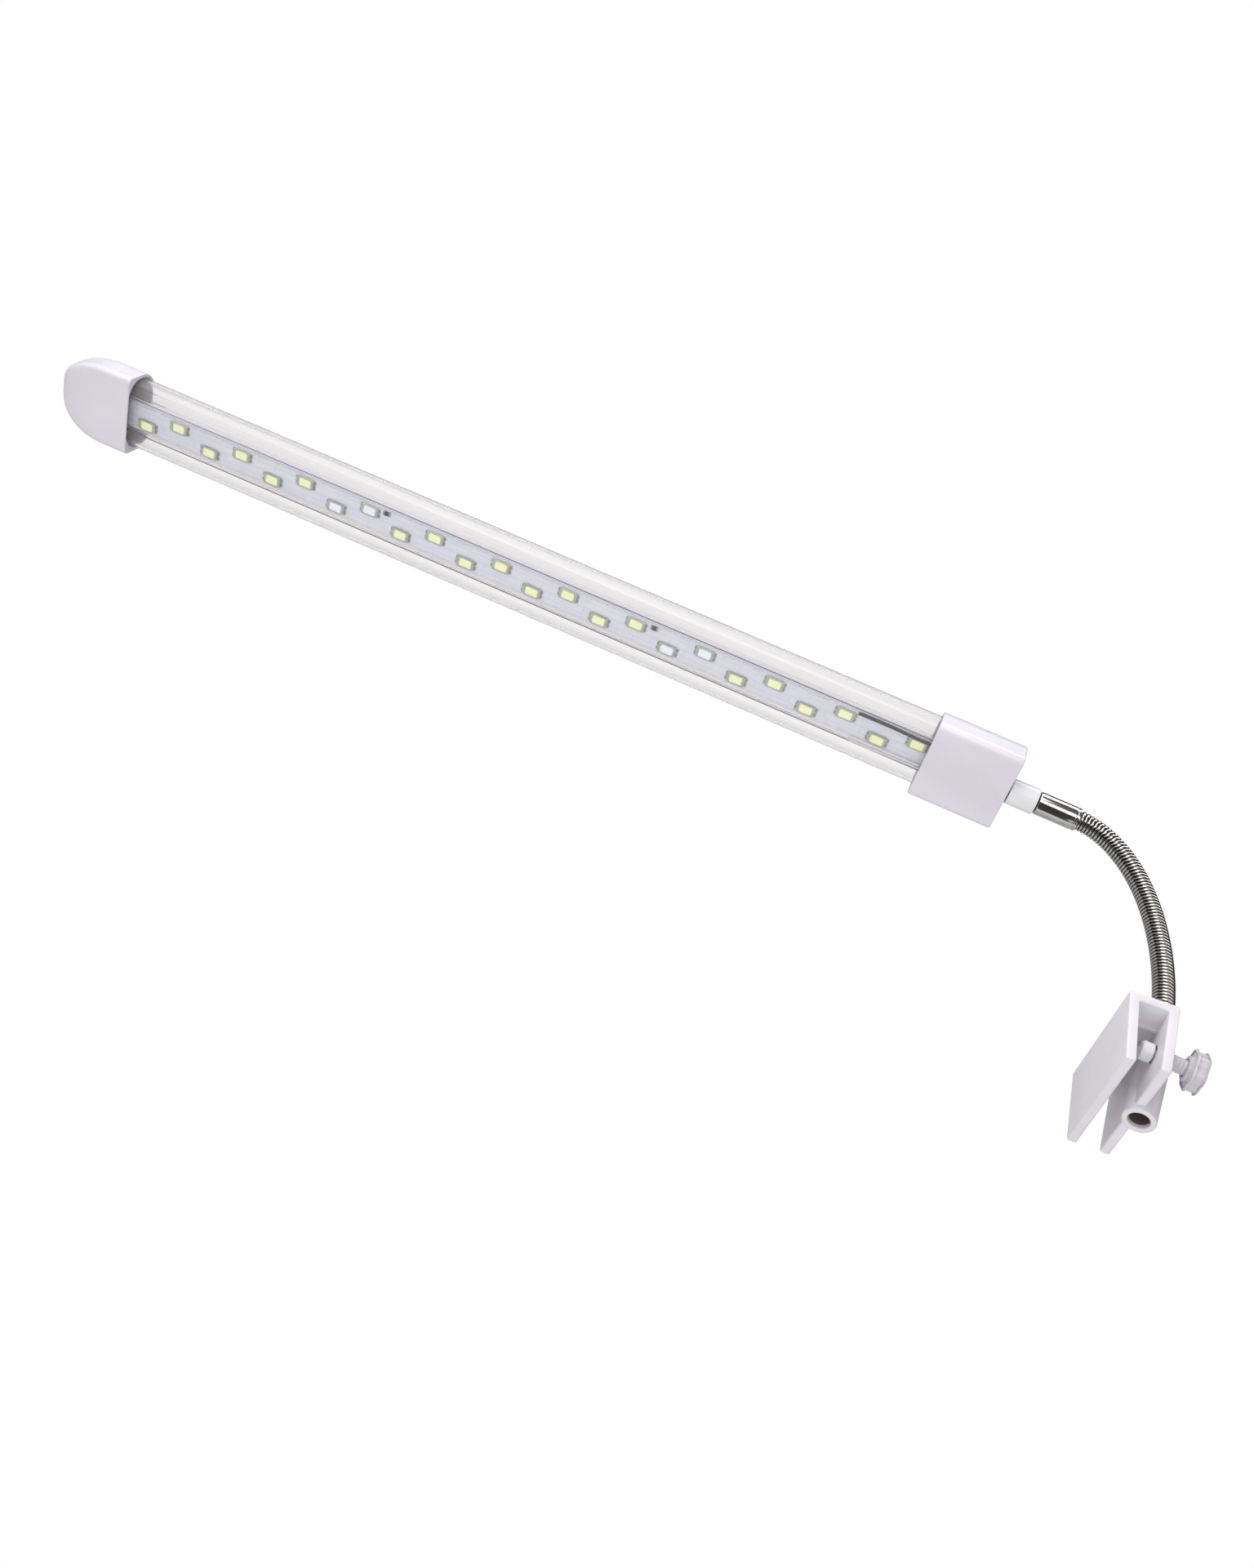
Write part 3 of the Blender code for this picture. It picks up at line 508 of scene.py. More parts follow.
def matt(name, dark, light, smooth, dull, scale=1.5, metallic=0.0):
    """A dull, grainy surface, for the small parts, the wires and the floor."""
    material, tree, shader, local = start_material(name, Metallic=metallic)
    grain = noise(tree, local, scale, detail=4.0)
    tree.links.new(tint(tree, spread(tree, grain), dark, light), shader.inputs["Base Color"])
    tree.links.new(spread(tree, grain, smooth, dull), shader.inputs["Roughness"])
    bump(tree, shader, grain, strength=0.1, distance=0.02 * MM)
    return material


LILAC = plastic(
    "lilac_plastic", dark=(0.72, 0.685, 0.755), light=(0.765, 0.735, 0.79), smooth=0.24, dull=0.34,
)
PALE = plastic(
    "pale_plastic", dark=(0.72, 0.69, 0.73), light=(0.76, 0.735, 0.77), smooth=0.28, dull=0.4,
)
# Greyer than the clamp: partly the knob's own plastic, partly painted shade that keeps the knob and screw
# from going too bright in the key light.
KNOB = plastic(
    "knob_plastic", dark=(0.55, 0.525, 0.56), light=(0.60, 0.57, 0.61), smooth=0.3, dull=0.42,
)
COLLAR = plastic(
    "collar_plastic", dark=(0.79, 0.795, 0.82), light=(0.815, 0.82, 0.84), smooth=0.28, dull=0.36,
)
CLEAR = clear_tube(
    "clear_acrylic", dark=(0.955, 0.938, 0.945), light=(0.975, 0.962, 0.968),
    edge_on_shade=(0.72, 0.71, 0.712), shade=(0.97, 0.965, 0.97),
)
MASK = board_mask(
    "board_mask", dark=(0.80, 0.845, 0.88), light=(0.87, 0.905, 0.94), copper=(0.70, 0.765, 0.88),
)
# The package's dark olive-grey is partly painted shade: it stands in for the shade round its window and at
# its ends.
LAMP_BODY = matt(
    "lamp_body", dark=(0.42, 0.45, 0.38), light=(0.52, 0.55, 0.47), smooth=0.35, dull=0.5, scale=2.0,
)
LAMP_WHITE = phosphor("lamp_phosphor", rim=(0.72, 0.84, 0.36), middle=(0.93, 0.98, 0.58))
LAMP_BLUE = phosphor("lamp_clear", rim=(0.66, 0.74, 0.84), middle=(0.88, 0.93, 0.97))
SOLDER = matt(
    "solder", dark=(0.30, 0.32, 0.31), light=(0.46, 0.48, 0.46), smooth=0.3, dull=0.45,
    scale=2.5, metallic=0.85,
)
CHIP = matt(
    "resistor_black", dark=(0.02, 0.02, 0.022), light=(0.04, 0.04, 0.045), smooth=0.4, dull=0.55, scale=2.0,
)
# The neck's grooves take a near-black painted shade.
STEEL = chrome(
    "neck_chrome", dark=(0.52, 0.51, 0.49), light=(0.66, 0.65, 0.63), smooth=0.12, dull=0.22,
    stretch=(1.0, 1.0, 0.3), groove=(0.05, 0.045, 0.04),
)
FERRULE_CHROME = chrome(
    "ferrule_chrome", dark=(0.56, 0.55, 0.53), light=(0.70, 0.69, 0.67), smooth=0.07, dull=0.16,
    stretch=(1.0, 0.15, 1.0),
)
WIRE_BLACK = matt(
    "wire_black", dark=(0.014, 0.014, 0.016), light=(0.03, 0.03, 0.033), smooth=0.38, dull=0.52, scale=1.2,
)
WIRE_WHITE = matt(
    "wire_white", dark=(0.70, 0.70, 0.71), light=(0.78, 0.78, 0.79), smooth=0.38, dull=0.52, scale=1.2,
)
BORE_DARK = matt(
    "bore_shade", dark=(0.10, 0.075, 0.07), light=(0.16, 0.12, 0.11), smooth=0.7, dull=0.85,
)


# ---------------------------------------------------------------- mesh tools

# An inset corner moves out no further than one over the first. A rounded corner uses up at most the
# second's share of each side, and a corner straighter than the third stays. The fourth limits how much
# of a section its corners may take.
MITER_LEAST = 0.35
CORNER_SHARE = 0.45
NEARLY_STRAIGHT = math.radians(170.0)
RADIUS_SHARE = 0.98
TINY = 1e-9


def build(name, bm, material, body, place, replaced=(), smooth=SMOOTH_DEGREES, local=None):
    """Turn a bmesh in a local frame into a finished piece that rides on a body."""
    bmesh.ops.recalc_face_normals(bm, faces=bm.faces)
    if bm.calc_volume(signed=True) < 0.0:
        bmesh.ops.reverse_faces(bm, faces=bm.faces)
    mesh = bpy.data.meshes.new(name)
    bm.to_mesh(mesh)
    bm.free()
    attribute = mesh.attributes.new(LOCAL, "FLOAT_VECTOR", "POINT")
    for index, vertex in enumerate(mesh.vertices):
        spot = local[index] if local else vertex.co / MM
        attribute.data[index].vector = spot
    mesh.transform(place)
    mesh.shade_smooth()
    mesh.set_sharp_from_angle(angle=math.radians(smooth))
    mesh.materials.append(material)
    obj = bpy.data.objects.new(name, mesh)
    bpy.context.scene.collection.objects.link(obj)
    if body:
        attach(obj, body)
    if replaced:
        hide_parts(*replaced)
    return obj


def lofted(rings, closed=False):
    """Join rings of points into a surface that comes round to the first ring, or has a cap at each end."""
    bm = bmesh.new()
    rows = [[bm.verts.new(point) for point in ring] for ring in rings]
    count = len(rows[0])
    for index in range(len(rows) if closed else len(rows) - 1):
        row = rows[index]
        following = rows[(index + 1) % len(rows)]
        for near in range(count):
            far = (near + 1) % count
            bm.faces.new((row[near], row[far], following[far], following[near]))
    if not closed:
        bm.faces.new(list(reversed(rows[0])))
        bm.faces.new(rows[-1])
    return bm


def round_over(lip, steps):
    """(setback from the end, inset) along a rounded edge, from the side to the end face."""
    angles = [math.radians(90.0) * k / steps for k in range(steps + 1)]
    return [(lip * (1 - math.sin(angle)), lip * (1 - math.cos(angle))) for angle in angles]


def prism(loops, start, end, place, lip=0.0, steps=3):
    """Extrude flat loops between two stations. lip rounds the outer loop's two end edges."""
    bm = bmesh.new()
    stations = [(start, 0.0), (end, 0.0)]
    if lip:
        rounded = round_over(lip, steps)
        stations = [(start + setback, inset) for setback, inset in reversed(rounded)]
        stations += [(end - setback, inset) for setback, inset in rounded]
    bands = [[]]
    for at, inset in stations:
        bands[0].append([bm.verts.new(place(*spot, at)) for spot in shrunk(loops[0], inset)])
    for loop in loops[1:]:
        bands.append([[bm.verts.new(place(a, b, at)) for a, b in loop] for at in (start, end)])
    for rows in bands:
        for row, following in zip(rows, rows[1:]):
            count = len(row)
            for index in range(count):
                after = (index + 1) % count
                bm.faces.new((row[index], row[after], following[after], following[index]))
    for which in (0, -1):
        flat = [[Vector((a, b, 0.0)) for a, b in shrunk(loops[0], stations[which][1])]]
        flat += [[Vector((a, b, 0.0)) for a, b in loop] for loop in loops[1:]]
        points = [vertex for rows in bands for vertex in rows[which]]
        for triangle in tessellate_polygon(flat):
            bm.faces.new([points[index] for index in triangle])
    return bm


def shrunk(points, inset):
    """A closed outline moved inwards by an inset, corner by corner."""
    if not inset:
        return list(points)
    spots = [Vector(point) for point in points]
    count = len(spots)
    area = sum(spots[k - 1].x * spots[k].y - spots[k].x * spots[k - 1].y for k in range(count))
    side = 1.0 if area > 0.0 else -1.0
    moved = []
    for index in range(count):
        before = (spots[index] - spots[index - 1]).normalized()
        after = (spots[(index + 1) % count] - spots[index]).normalized()
        inward = Vector((-before.y - after.y, before.x + after.x)) * side
        length = max(inward.length, TINY)
        miter = 1.0 / max(MITER_LEAST, length / 2)
        moved.append(tuple(spots[index] + inward / length * inset * miter))
    return moved


def along_y(a, b, station):
    return Vector((a, station, b))


def along_x(a, b, station):
    return Vector((station, a, b))


def circle(radius, station, count, centre=(0.0, 0.0)):
    return [
        (centre[0] + radius * math.cos(math.tau * k / count), station,
         centre[1] + radius * math.sin(math.tau * k / count))
        for k in range(count)
    ]


def softened(profile, radius, steps=3, closed=True):
    """Round every corner of a (radius, station) profile, by less where its sides are short."""
    count = len(profile)
    result = []
    for index in range(count):
        corner = Vector(profile[index])
        if not closed and index in (0, count - 1):
            result.append(tuple(corner))
            continue
        before = Vector(profile[index - 1]) - corner
        after = Vector(profile[(index + 1) % count]) - corner
        reach = min(radius, before.length * CORNER_SHARE, after.length * CORNER_SHARE)
        if before.angle(after) > NEARLY_STRAIGHT:
            result.append(tuple(corner))
            continue
        first = corner + before.normalized() * reach
        last = corner + after.normalized() * reach
        for step in range(steps + 1):
            t = step / steps
            result.append(tuple(first * (1 - t) ** 2 + corner * 2 * t * (1 - t) + last * t**2))
    return result


def turned(profile, count, closed=False, centre=(0.0, 0.0)):
    """A (radius, station) profile turned round the Y axis."""
    return lofted([circle(radius, station, count, centre) for radius, station in profile], closed)


def standing_rings(profile, count):
    """Rings round the Z axis for a (radius, level) profile."""
    return [[(x, y, level) for x, _, y in circle(radius, 0.0, count)] for radius, level in profile]


def rounded_rectangle(half_width, half_depth, corner, count, back_corner=None):
    """Points around a rounded rectangle, spread evenly. Its back corners may be rounder."""
    points = []
    for index in range(count):
        angle = math.tau * (index + 0.5) / count
        aim = Vector((half_width * math.cos(angle), half_depth * math.sin(angle))).normalized()
        radius = back_corner if back_corner and aim.y > 0.0 else corner
        radius = min(radius, half_width * RADIUS_SHARE, half_depth * RADIUS_SHARE)
        middle = Vector((half_width - radius, half_depth - radius))
        toward = Vector((abs(aim.x), abs(aim.y)))
        reach = min(half_width / toward.x, half_depth / toward.y)
        touch = toward * reach
        if touch.x > middle.x and touch.y > middle.y:
            along = toward.dot(middle)
            reach = along + math.sqrt(along**2 - middle.length_squared + radius**2)
        points.append((aim.x * reach, aim.y * reach))
    return points


def section_ring(half_width, half_depth, corner, station, back_corner=None):
    outline = rounded_rectangle(half_width, half_depth, corner, SECTION_POINTS, back_corner)
    return [(x, station, z) for x, z in outline]


def cap_ring(inset, station):
    """The outside of an end cap at a station, moved in by an inset."""
    corner = CAP_CORNER - inset * CAP_CORNER_SHARE
    return section_ring(CAP_HALF_WIDTH - inset, CAP_HALF_DEPTH - inset, corner, station, CAP_BACK_CORNER)


def filleted(points, radius, steps=6):
    """Replace each corner of a polygon by a short arc."""
    result = []
    count = len(points)
    for index in range(count):
        corner = Vector(points[index])
        before = (Vector(points[index - 1]) - corner).normalized()
        after = (Vector(points[(index + 1) % count]) - corner).normalized()
        half_angle = before.angle(after) / 2
        setback = radius / math.tan(half_angle)
        centre = corner + (before + after).normalized() * (radius / math.sin(half_angle))
        first = corner + before * setback - centre
        last = corner + after * setback - centre
        for step in range(steps + 1):
            result.append(tuple(centre + first.lerp(last, step / steps).normalized() * radius))
    return result


def soft_box(low, high, lip, bm=None):
    """A box with rounded edges."""
    bm = bm or bmesh.new()
    size = Vector(high) - Vector(low)
    middle = (Vector(high) + Vector(low)) / 2
    made = bmesh.ops.create_cube(bm, size=1.0)
    for vertex in made["verts"]:
        vertex.co = Vector(a * b for a, b in zip(vertex.co, size)) + middle
    edges = list({edge for vertex in made["verts"] for edge in vertex.link_edges})
    bmesh.ops.bevel(bm, geom=edges, offset=lip, segments=3, profile=0.5, affect="EDGES")
    return bm


# ---------------------------------------------------------------- clamp

def cut(target, tools):
    """Cut tool meshes out of a target mesh and return the result as a bmesh."""
    made = []
    for source in (target, *tools):
        bmesh.ops.recalc_face_normals(source, faces=source.faces)
        if source.calc_volume(signed=True) < 0.0:
            bmesh.ops.reverse_faces(source, faces=source.faces)
        mesh = bpy.data.meshes.new("cut")
        source.to_mesh(mesh)
        source.free()
        obj = bpy.data.objects.new("cut", mesh)
        bpy.context.scene.collection.objects.link(obj)
        made.append(obj)
    for tool in made[1:]:
        modifier = made[0].modifiers.new("cut", "BOOLEAN")
        modifier.operation = "DIFFERENCE"
        modifier.solver = "EXACT"
        modifier.object = tool
    graph = bpy.context.evaluated_depsgraph_get()
    result = bmesh.new()
    result.from_mesh(made[0].evaluated_get(graph).to_mesh())
    for obj in made:
        bpy.data.objects.remove(obj, do_unlink=True)
    return result


def build_clamp():
    leg_length = CLAMP_HEIGHT / math.cos(LEG_LEAN)
    inner_level = -CLAMP_WALL * (1 + math.sin(LEG_LEAN)) / math.cos(LEG_LEAN)
    section = [
        (0.0, 0.0),
        (0.0, -CLAMP_HEIGHT),
        (CLAMP_WALL, -CLAMP_HEIGHT),
        (CLAMP_WALL, -CLAMP_WALL),
        leg_point(-CLAMP_WALL, inner_level),
        leg_point(-CLAMP_WALL, -leg_length),
        leg_point(0.0, -leg_length),
        leg_point(0.0, 0.0),
    ]
    half = CLAMP_WIDTH / 2
    outline = filleted(section, CLAMP_CORNER)
    channel = prism([outline], -half, half, along_x, CHANNEL_LIP, CHANNEL_LIP_STEPS)
    to_clamp = CLAMP_FRAME.inverted() @ LEG_FRAME
    hole = turned([(SCREW_HOLE, -2 * CLAMP_WALL), (SCREW_HOLE, CLAMP_WALL)], HOLE_SIDES)
    bmesh.ops.transform(hole, matrix=to_clamp @ placed((SCREW_SIDE, 0.0, SCREW_LEVEL)), verts=hole.verts)
    to_boss = CLAMP_FRAME.inverted() @ BOSS_FRAME
    upright = to_boss @ placed((0.0, 0.0, 0.0), (math.radians(90.0), 0.0, 0.0))
    seat = BOSS_RADIUS - BOSS_SEAT
    bore = turned([(seat, -BOSS_TOP - CLAMP_WALL), (seat, -BOSS_BOTTOM + CLAMP_WALL)], HOLE_SIDES)
    bmesh.ops.transform(bore, matrix=upright @ Matrix.Rotation(math.pi, 4, "X"), verts=bore.verts)
    bm = cut(channel, (hole, bore))
    build("clamp_channel", bm, PALE, "clamp", CLAMP_FRAME, ("clamp_body",), 30.0)

    for index in range(RIB_COUNT):
        middle = (index - (RIB_COUNT - 1) / 2) * RIB_SPACING
        side = CLAMP_WALL * RIB_SIDE_SHARE
        low = (middle - RIB_THICKNESS / 2, side, -CLAMP_WALL - RIB_DEPTH)
        high = (middle + RIB_THICKNESS / 2, CLAMP_DEPTH - side, -CLAMP_WALL * RIB_TOP_SHARE)
        rib = soft_box(low, high, RIB_LIP)
        build(f"clamp_rib_{index + 1}", rib, PALE, "clamp", CLAMP_FRAME, ())

    profile = softened([
        (BOSS_BORE, BOSS_BOTTOM), (BOSS_RADIUS, BOSS_BOTTOM), (BOSS_RADIUS, BOSS_TOP), (BOSS_BORE, BOSS_TOP),
    ], BOSS_LIP, BOSS_LIP_STEPS)
    rings = standing_rings(profile, BOSS_SIDES)
    build("clamp_boss", lofted(rings, True), PALE, "clamp", BOSS_FRAME, ())

    # A dark sleeve inside the boss's hollow: painted shade for the depth of the bore.
    outer = BOSS_BORE + BORE_SHADE_GAP
    inner = outer - BORE_SHADE_WALL
    bottom = BOSS_BOTTOM + BORE_SHADE_BOTTOM_GAP
    top = BOSS_TOP - BORE_SHADE_TOP_GAP
    rings = standing_rings([(inner, bottom), (outer, bottom), (outer, top), (inner, top)], HOLE_SIDES)
    build("boss_bore_shade", lofted(rings, True), BORE_DARK, "clamp", BOSS_FRAME, ())


# ---------------------------------------------------------------- thumbscrew

def thread_rings(start, end):
    """The shaft's helical thread as rings, fading out at both ends."""
    rings = []
    steps = int((end - start) / THREAD_PITCH * THREAD_SAMPLES)
    for index in range(steps + 1):
        station = start + (end - start) * index / steps
        fade = min(1.0, (station - start) / THREAD_PITCH, (end - station) / THREAD_PITCH)
        ring = []
        for k in range(SCREW_SIDES):
            angle = math.tau * k / SCREW_SIDES
            phase = (station / THREAD_PITCH - k / SCREW_SIDES) % 1.0
            ridge = 1.0 - abs(2.0 * phase - 1.0)
            radius = SCREW_RADIUS - THREAD_DEPTH * fade * (1.0 - min(1.0, THREAD_CREST * ridge))
            ring.append((radius * math.cos(angle), station, radius * math.sin(angle)))
        rings.append(ring)
    return rings


def knob_ring(station, inset):
    """One outline of the knob: six round lobes with soft notches between them."""
    ring = []
    for index in range(KNOB_POINTS):
        angle = math.tau * index / KNOB_POINTS
        lobe = math.sqrt(math.cos(KNOB_LOBES / 2 * angle) ** 2 + KNOB_NOTCH_ROUND)
        radius = KNOB_RADIUS - inset - KNOB_LOBE_DEPTH * max(0.0, 1.0 - lobe)
        ring.append((radius * math.cos(angle), station, radius * math.sin(angle)))
    return ring


def build_pad():
    profile = softened([
        (PAD_SOCKET_RADIUS, PAD_SOCKET_END),
        (PAD_SOCKET_RADIUS, PAD_BACK),
        (PAD_RADIUS, PAD_BACK),
        (PAD_RADIUS, PAD_FRONT),
        (PAD_RADIUS * PAD_FACE_SHARE, PAD_FRONT),
    ], PAD_LIP, PAD_LIP_STEPS, closed=False)
    bm = turned(profile, PAD_SIDES)
    build("pressure_pad_cup", bm, PALE, "pad", SCREW_FRAME, ("pressure_pad",))


def build_shaft():
    tip = softened([
        (SCREW_TIP_RADIUS * SCREW_TIP_SHARE, SCREW_TIP_END),
        (SCREW_TIP_RADIUS, SCREW_TIP_END + SCREW_TIP_TAPER),
        (SCREW_TIP_RADIUS, SCREW_NECK_END + SCREW_TIP_REACH),
    ], SCREW_TIP_LIP, SCREW_TIP_STEPS, closed=False)
    rings = [circle(radius, station, SCREW_SIDES) for radius, station in tip]
    rings += thread_rings(SCREW_NECK_END + THREAD_START_GAP, KNOB_INNER - THREAD_END_GAP)
    rings.append(circle(SCREW_RADIUS, SCREW_END, SCREW_SIDES))
    build("screw_thread", lofted(rings), KNOB, "screw", SCREW_FRAME, ("screw_shaft",), 50.0)


def build_knob():
    """The knob: socket, hub, a waisted rim that stands up as a flange at each end, and a dished face.

    Each flange's round-over runs from the side to the end face and back to the waist, so that the
    surface crosses itself inside the flange.
    """
    hub_start = KNOB_INNER - KNOB_HUB_LENGTH
    hub = [
        (KNOB_SOCKET_RADIUS, SCREW_END + KNOB_SOCKET_GAP),
        (KNOB_SOCKET_RADIUS, hub_start),
        (KNOB_HUB_RADIUS - KNOB_HUB_LIP, hub_start),
        (KNOB_HUB_RADIUS, hub_start + KNOB_HUB_LIP),
        (KNOB_HUB_RADIUS, KNOB_INNER - KNOB_HUB_FILLET_START),
        (KNOB_HUB_RADIUS + KNOB_HUB_FILLET, KNOB_INNER),
    ]
    flange = round_over(KNOB_FLANGE, KNOB_FLANGE_STEPS)
    rings = [circle(radius, station, KNOB_POINTS) for radius, station in hub]
    rings += [knob_ring(KNOB_INNER + setback, inset) for setback, inset in flange]
    rings += [knob_ring(KNOB_OUTER - setback, inset) for setback, inset in reversed(flange)]
    rings += [circle(KNOB_RADIUS * share, KNOB_OUTER - depth, KNOB_POINTS) for share, depth in KNOB_DISH]
    build("screw_knob_lobed", lofted(rings), KNOB, "screw", SCREW_FRAME, ("screw_knob",))


# ---------------------------------------------------------------- neck

def strip_radius(distance, turn):
    """The wound strip's outer radius: rounded ridges with a narrow groove between them."""
    pitch = (NECK_LENGTH - NECK_STRAIGHT) / (NECK_LINKS - 1) / STRIP_TURNS_PER_LINK
    phase = (distance / pitch - turn) % 1.0
    ridge = math.sin(math.pi * phase) ** STRIP_ROUNDNESS
    return NECK_RADIUS - STRIP_GROOVE * (1.0 - ridge)


def neck_ring(distance, radius_at, count):
    y, z, angle = neck_station(distance)
    ring = []
    for index in range(count):
        around = math.tau * index / count
        radius = radius_at(distance, index / count)
        side = radius * math.cos(around)
        rise = radius * math.sin(around)
        ring.append((side, y - rise * math.sin(angle), z + rise * math.cos(angle)))
    return ring


def build_neck():
    """Twelve lengths of one wound strip, each bending across the joint in its middle."""
    link = (NECK_LENGTH - NECK_STRAIGHT) / (NECK_LINKS - 1)
    round_mm = NECK_RADIUS / MM
    for number in range(1, NECK_LINKS):
        joint = NECK_STRAIGHT + (number - 1) * link
        start = joint - link / 2 if number > 1 else -NECK_ROOT_LENGTH
        end = joint + link / 2 if number < NECK_LINKS - 1 else NECK_LENGTH - STRIP_END_GAP
        steps = max(STRIP_LEAST_STEPS, round((end - start) / link * STRIP_TURNS_PER_LINK * STRIP_SAMPLES))
        rings = []
        local = []
        depths = []
        for step in range(steps + 1):
            at = start + (end - start) * step / steps
            wound = strip_radius if at > STRIP_FOOT else (lambda *_: STRIP_FOOT_RADIUS)
            rings.append(neck_ring(at, wound, STRIP_SIDES))
            for k in range(STRIP_SIDES):
                around = math.tau * k / STRIP_SIDES
                local.append((round_mm * math.cos(around), round_mm * math.sin(around), at / MM))
                depths.append((NECK_RADIUS - strip_radius(at, k / STRIP_SIDES)) / STRIP_GROOVE)
        inner = [neck_ring(at, lambda *_: NECK_CORE, STRIP_SIDES) for at in (end, start)]
        local += local[:STRIP_SIDES] * 2
        bm = lofted(rings + inner, True)
        replaced = [f"neck_link_{number + 1:02d}"] + (["neck_link_01"] if number == 1 else [])
        name = f"neck_strip_{number:02d}"
        piece = build(name, bm, STEEL, None, NECK_FRAME, replaced, 60.0, local)
        depths += [1.0] * (2 * STRIP_SIDES)
        piece.data.attributes.new(GROOVE, "FLOAT", "POINT").data.foreach_set("value", depths)
        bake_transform(piece)


# ---------------------------------------------------------------- light bar

def on_bar(name, bm, material, replaced, smooth=SMOOTH_DEGREES):
    return build(name, bm, material, "light_bar", BAR_FRAME, replaced, smooth)


def build_ferrule():
    """The chrome sleeve, with a shallow turned groove near its neck end."""
    groove = FERRULE_RADIUS - FERRULE_GROOVE
    first, second, third, last = (FERRULE_END - back for back in FERRULE_GROOVE_CORNERS)
    profile = softened([
        (FERRULE_BORE, FERRULE_HEAD_START),
        (FERRULE_HEAD_RADIUS, FERRULE_HEAD_START),
        (FERRULE_HEAD_RADIUS, FERRULE_HEAD_END),
        (FERRULE_SPIGOT, FERRULE_HEAD_END),
        (FERRULE_SPIGOT, FERRULE_START),
        (FERRULE_RADIUS, FERRULE_START),
        (FERRULE_RADIUS, first),
        (groove, second),
        (groove, third),
        (FERRULE_RADIUS, last),
        (FERRULE_RADIUS, FERRULE_END),
        (FERRULE_BORE, FERRULE_END),
    ], FERRULE_LIP, FERRULE_LIP_STEPS)
    bm = turned(profile, ROUND_SIDES, True, (0.0, -AXIS_OFFSET))
    build("ferrule_sleeve", bm, FERRULE_CHROME, "neck_end", BAR_FRAME, ("neck_ferrule",))


def build_collar():
    profile = softened([
        (COLLAR_BORE, COLLAR_START), (COLLAR_RADIUS, COLLAR_START),
        (COLLAR_RADIUS, COLLAR_END), (COLLAR_BORE, COLLAR_END),
    ], COLLAR_LIP, COLLAR_LIP_STEPS)
    bm = turned(profile, ROUND_SIDES, True, (0.0, -AXIS_OFFSET))
    on_bar("collar_sleeve", bm, COLLAR, ("neck_collar",))


def hole_ring(radius, outer_ring, station):
    """A circle on the swivel axis, each point in line with one of the ring around it."""
    ring = []
    for x, _, z in outer_ring:
        reach = math.hypot(x, z + AXIS_OFFSET)
        ring.append((x / reach * radius, station, (z + AXIS_OFFSET) / reach * radius - AXIS_OFFSET))
    return ring


def edge_rings(station, toward, lip, steps):
    """Rings of the cap's outside that round over an end edge. toward is the way to the outside."""
    return [cap_ring(inset, station - toward * setback) for setback, inset in round_over(lip, steps)]


def lip_rings(station, toward):
    """The mouth of a cap: from inside its socket, round over the rim, to the outside."""
    width = TUBE_HALF_WIDTH + CAP_FIT
    depth = TUBE_HALF_DEPTH + CAP_FIT
    rings = []
    for wider, inside in CAP_MOUTH:
        rings.append(section_ring(width + wider, depth + wider, TUBE_CORNER, station - toward * inside))
    rings.extend(reversed(edge_rings(station, toward, CAP_MOUTH_EDGE, CAP_MOUTH_STEPS)))
    return rings


def build_near_cap():
    width = TUBE_HALF_WIDTH + CAP_FIT
    depth = TUBE_HALF_DEPTH + CAP_FIT
    inner_end = section_ring(width, depth, TUBE_CORNER, NEAR_CAP_FLOOR)
    rings = [inner_end] + lip_rings(NEAR_CAP_OPEN, -1.0)
    rings += edge_rings(NEAR_CAP_END, 1.0, CAP_EDGE, CAP_EDGE_STEPS)
    outer_end = rings[-1]
    rings.append(hole_ring(COLLAR_BORE + CAP_HOLE_EDGE, outer_end, NEAR_CAP_END))
    rings.append(hole_ring(COLLAR_BORE, outer_end, NEAR_CAP_END - CAP_HOLE_EDGE))
    rings.append(hole_ring(COLLAR_BORE, inner_end, NEAR_CAP_FLOOR))
    on_bar("cap_near_shell", lofted(rings, True), LILAC, ("end_cap_near",), 32.0)


def dome_rings(half_width, half_depth, start, tip, steps, back_corner=None):
    """Cross-sections of a flattened dome, shrinking from its start to its tip."""
    rings = []
    for step in range(1, steps + 1):
        angle = DOME_SWEEP * step / steps
        station = start + (tip - start) * math.sin(angle)
        width = half_width * math.cos(angle) ** DOME_WIDTH_POWER
        depth = half_depth * math.cos(angle) ** DOME_DEPTH_POWER
        rings.append(section_ring(width, depth, CAP_CORNER, station, back_corner))
    return rings


def build_far_cap():
    width = TUBE_HALF_WIDTH + CAP_FIT
    depth = TUBE_HALF_DEPTH + CAP_FIT
    floor = -TUBE_HALF_LENGTH - CAP_FIT
    dome = dome_rings(CAP_HALF_WIDTH, CAP_HALF_DEPTH, FAR_CAP_DOME, FAR_CAP_TIP, DOME_STEPS, CAP_BACK_CORNER)
    rings = list(reversed(dome))
    rings.append(cap_ring(0.0, FAR_CAP_DOME))
    rings += list(reversed(lip_rings(FAR_CAP_OPEN, 1.0)))
    rings.append(section_ring(width, depth, TUBE_CORNER, floor))
    hollow = (width * DOME_HOLLOW_SHARE, depth * DOME_HOLLOW_SHARE)
    rings.append(section_ring(*hollow, CAP_CORNER, floor))
    rings += dome_rings(*hollow, floor, FAR_CAP_INNER_TIP, DOME_INNER_STEPS)
    on_bar("cap_far_shell", lofted(rings), LILAC, ("end_cap_far",), 32.0)


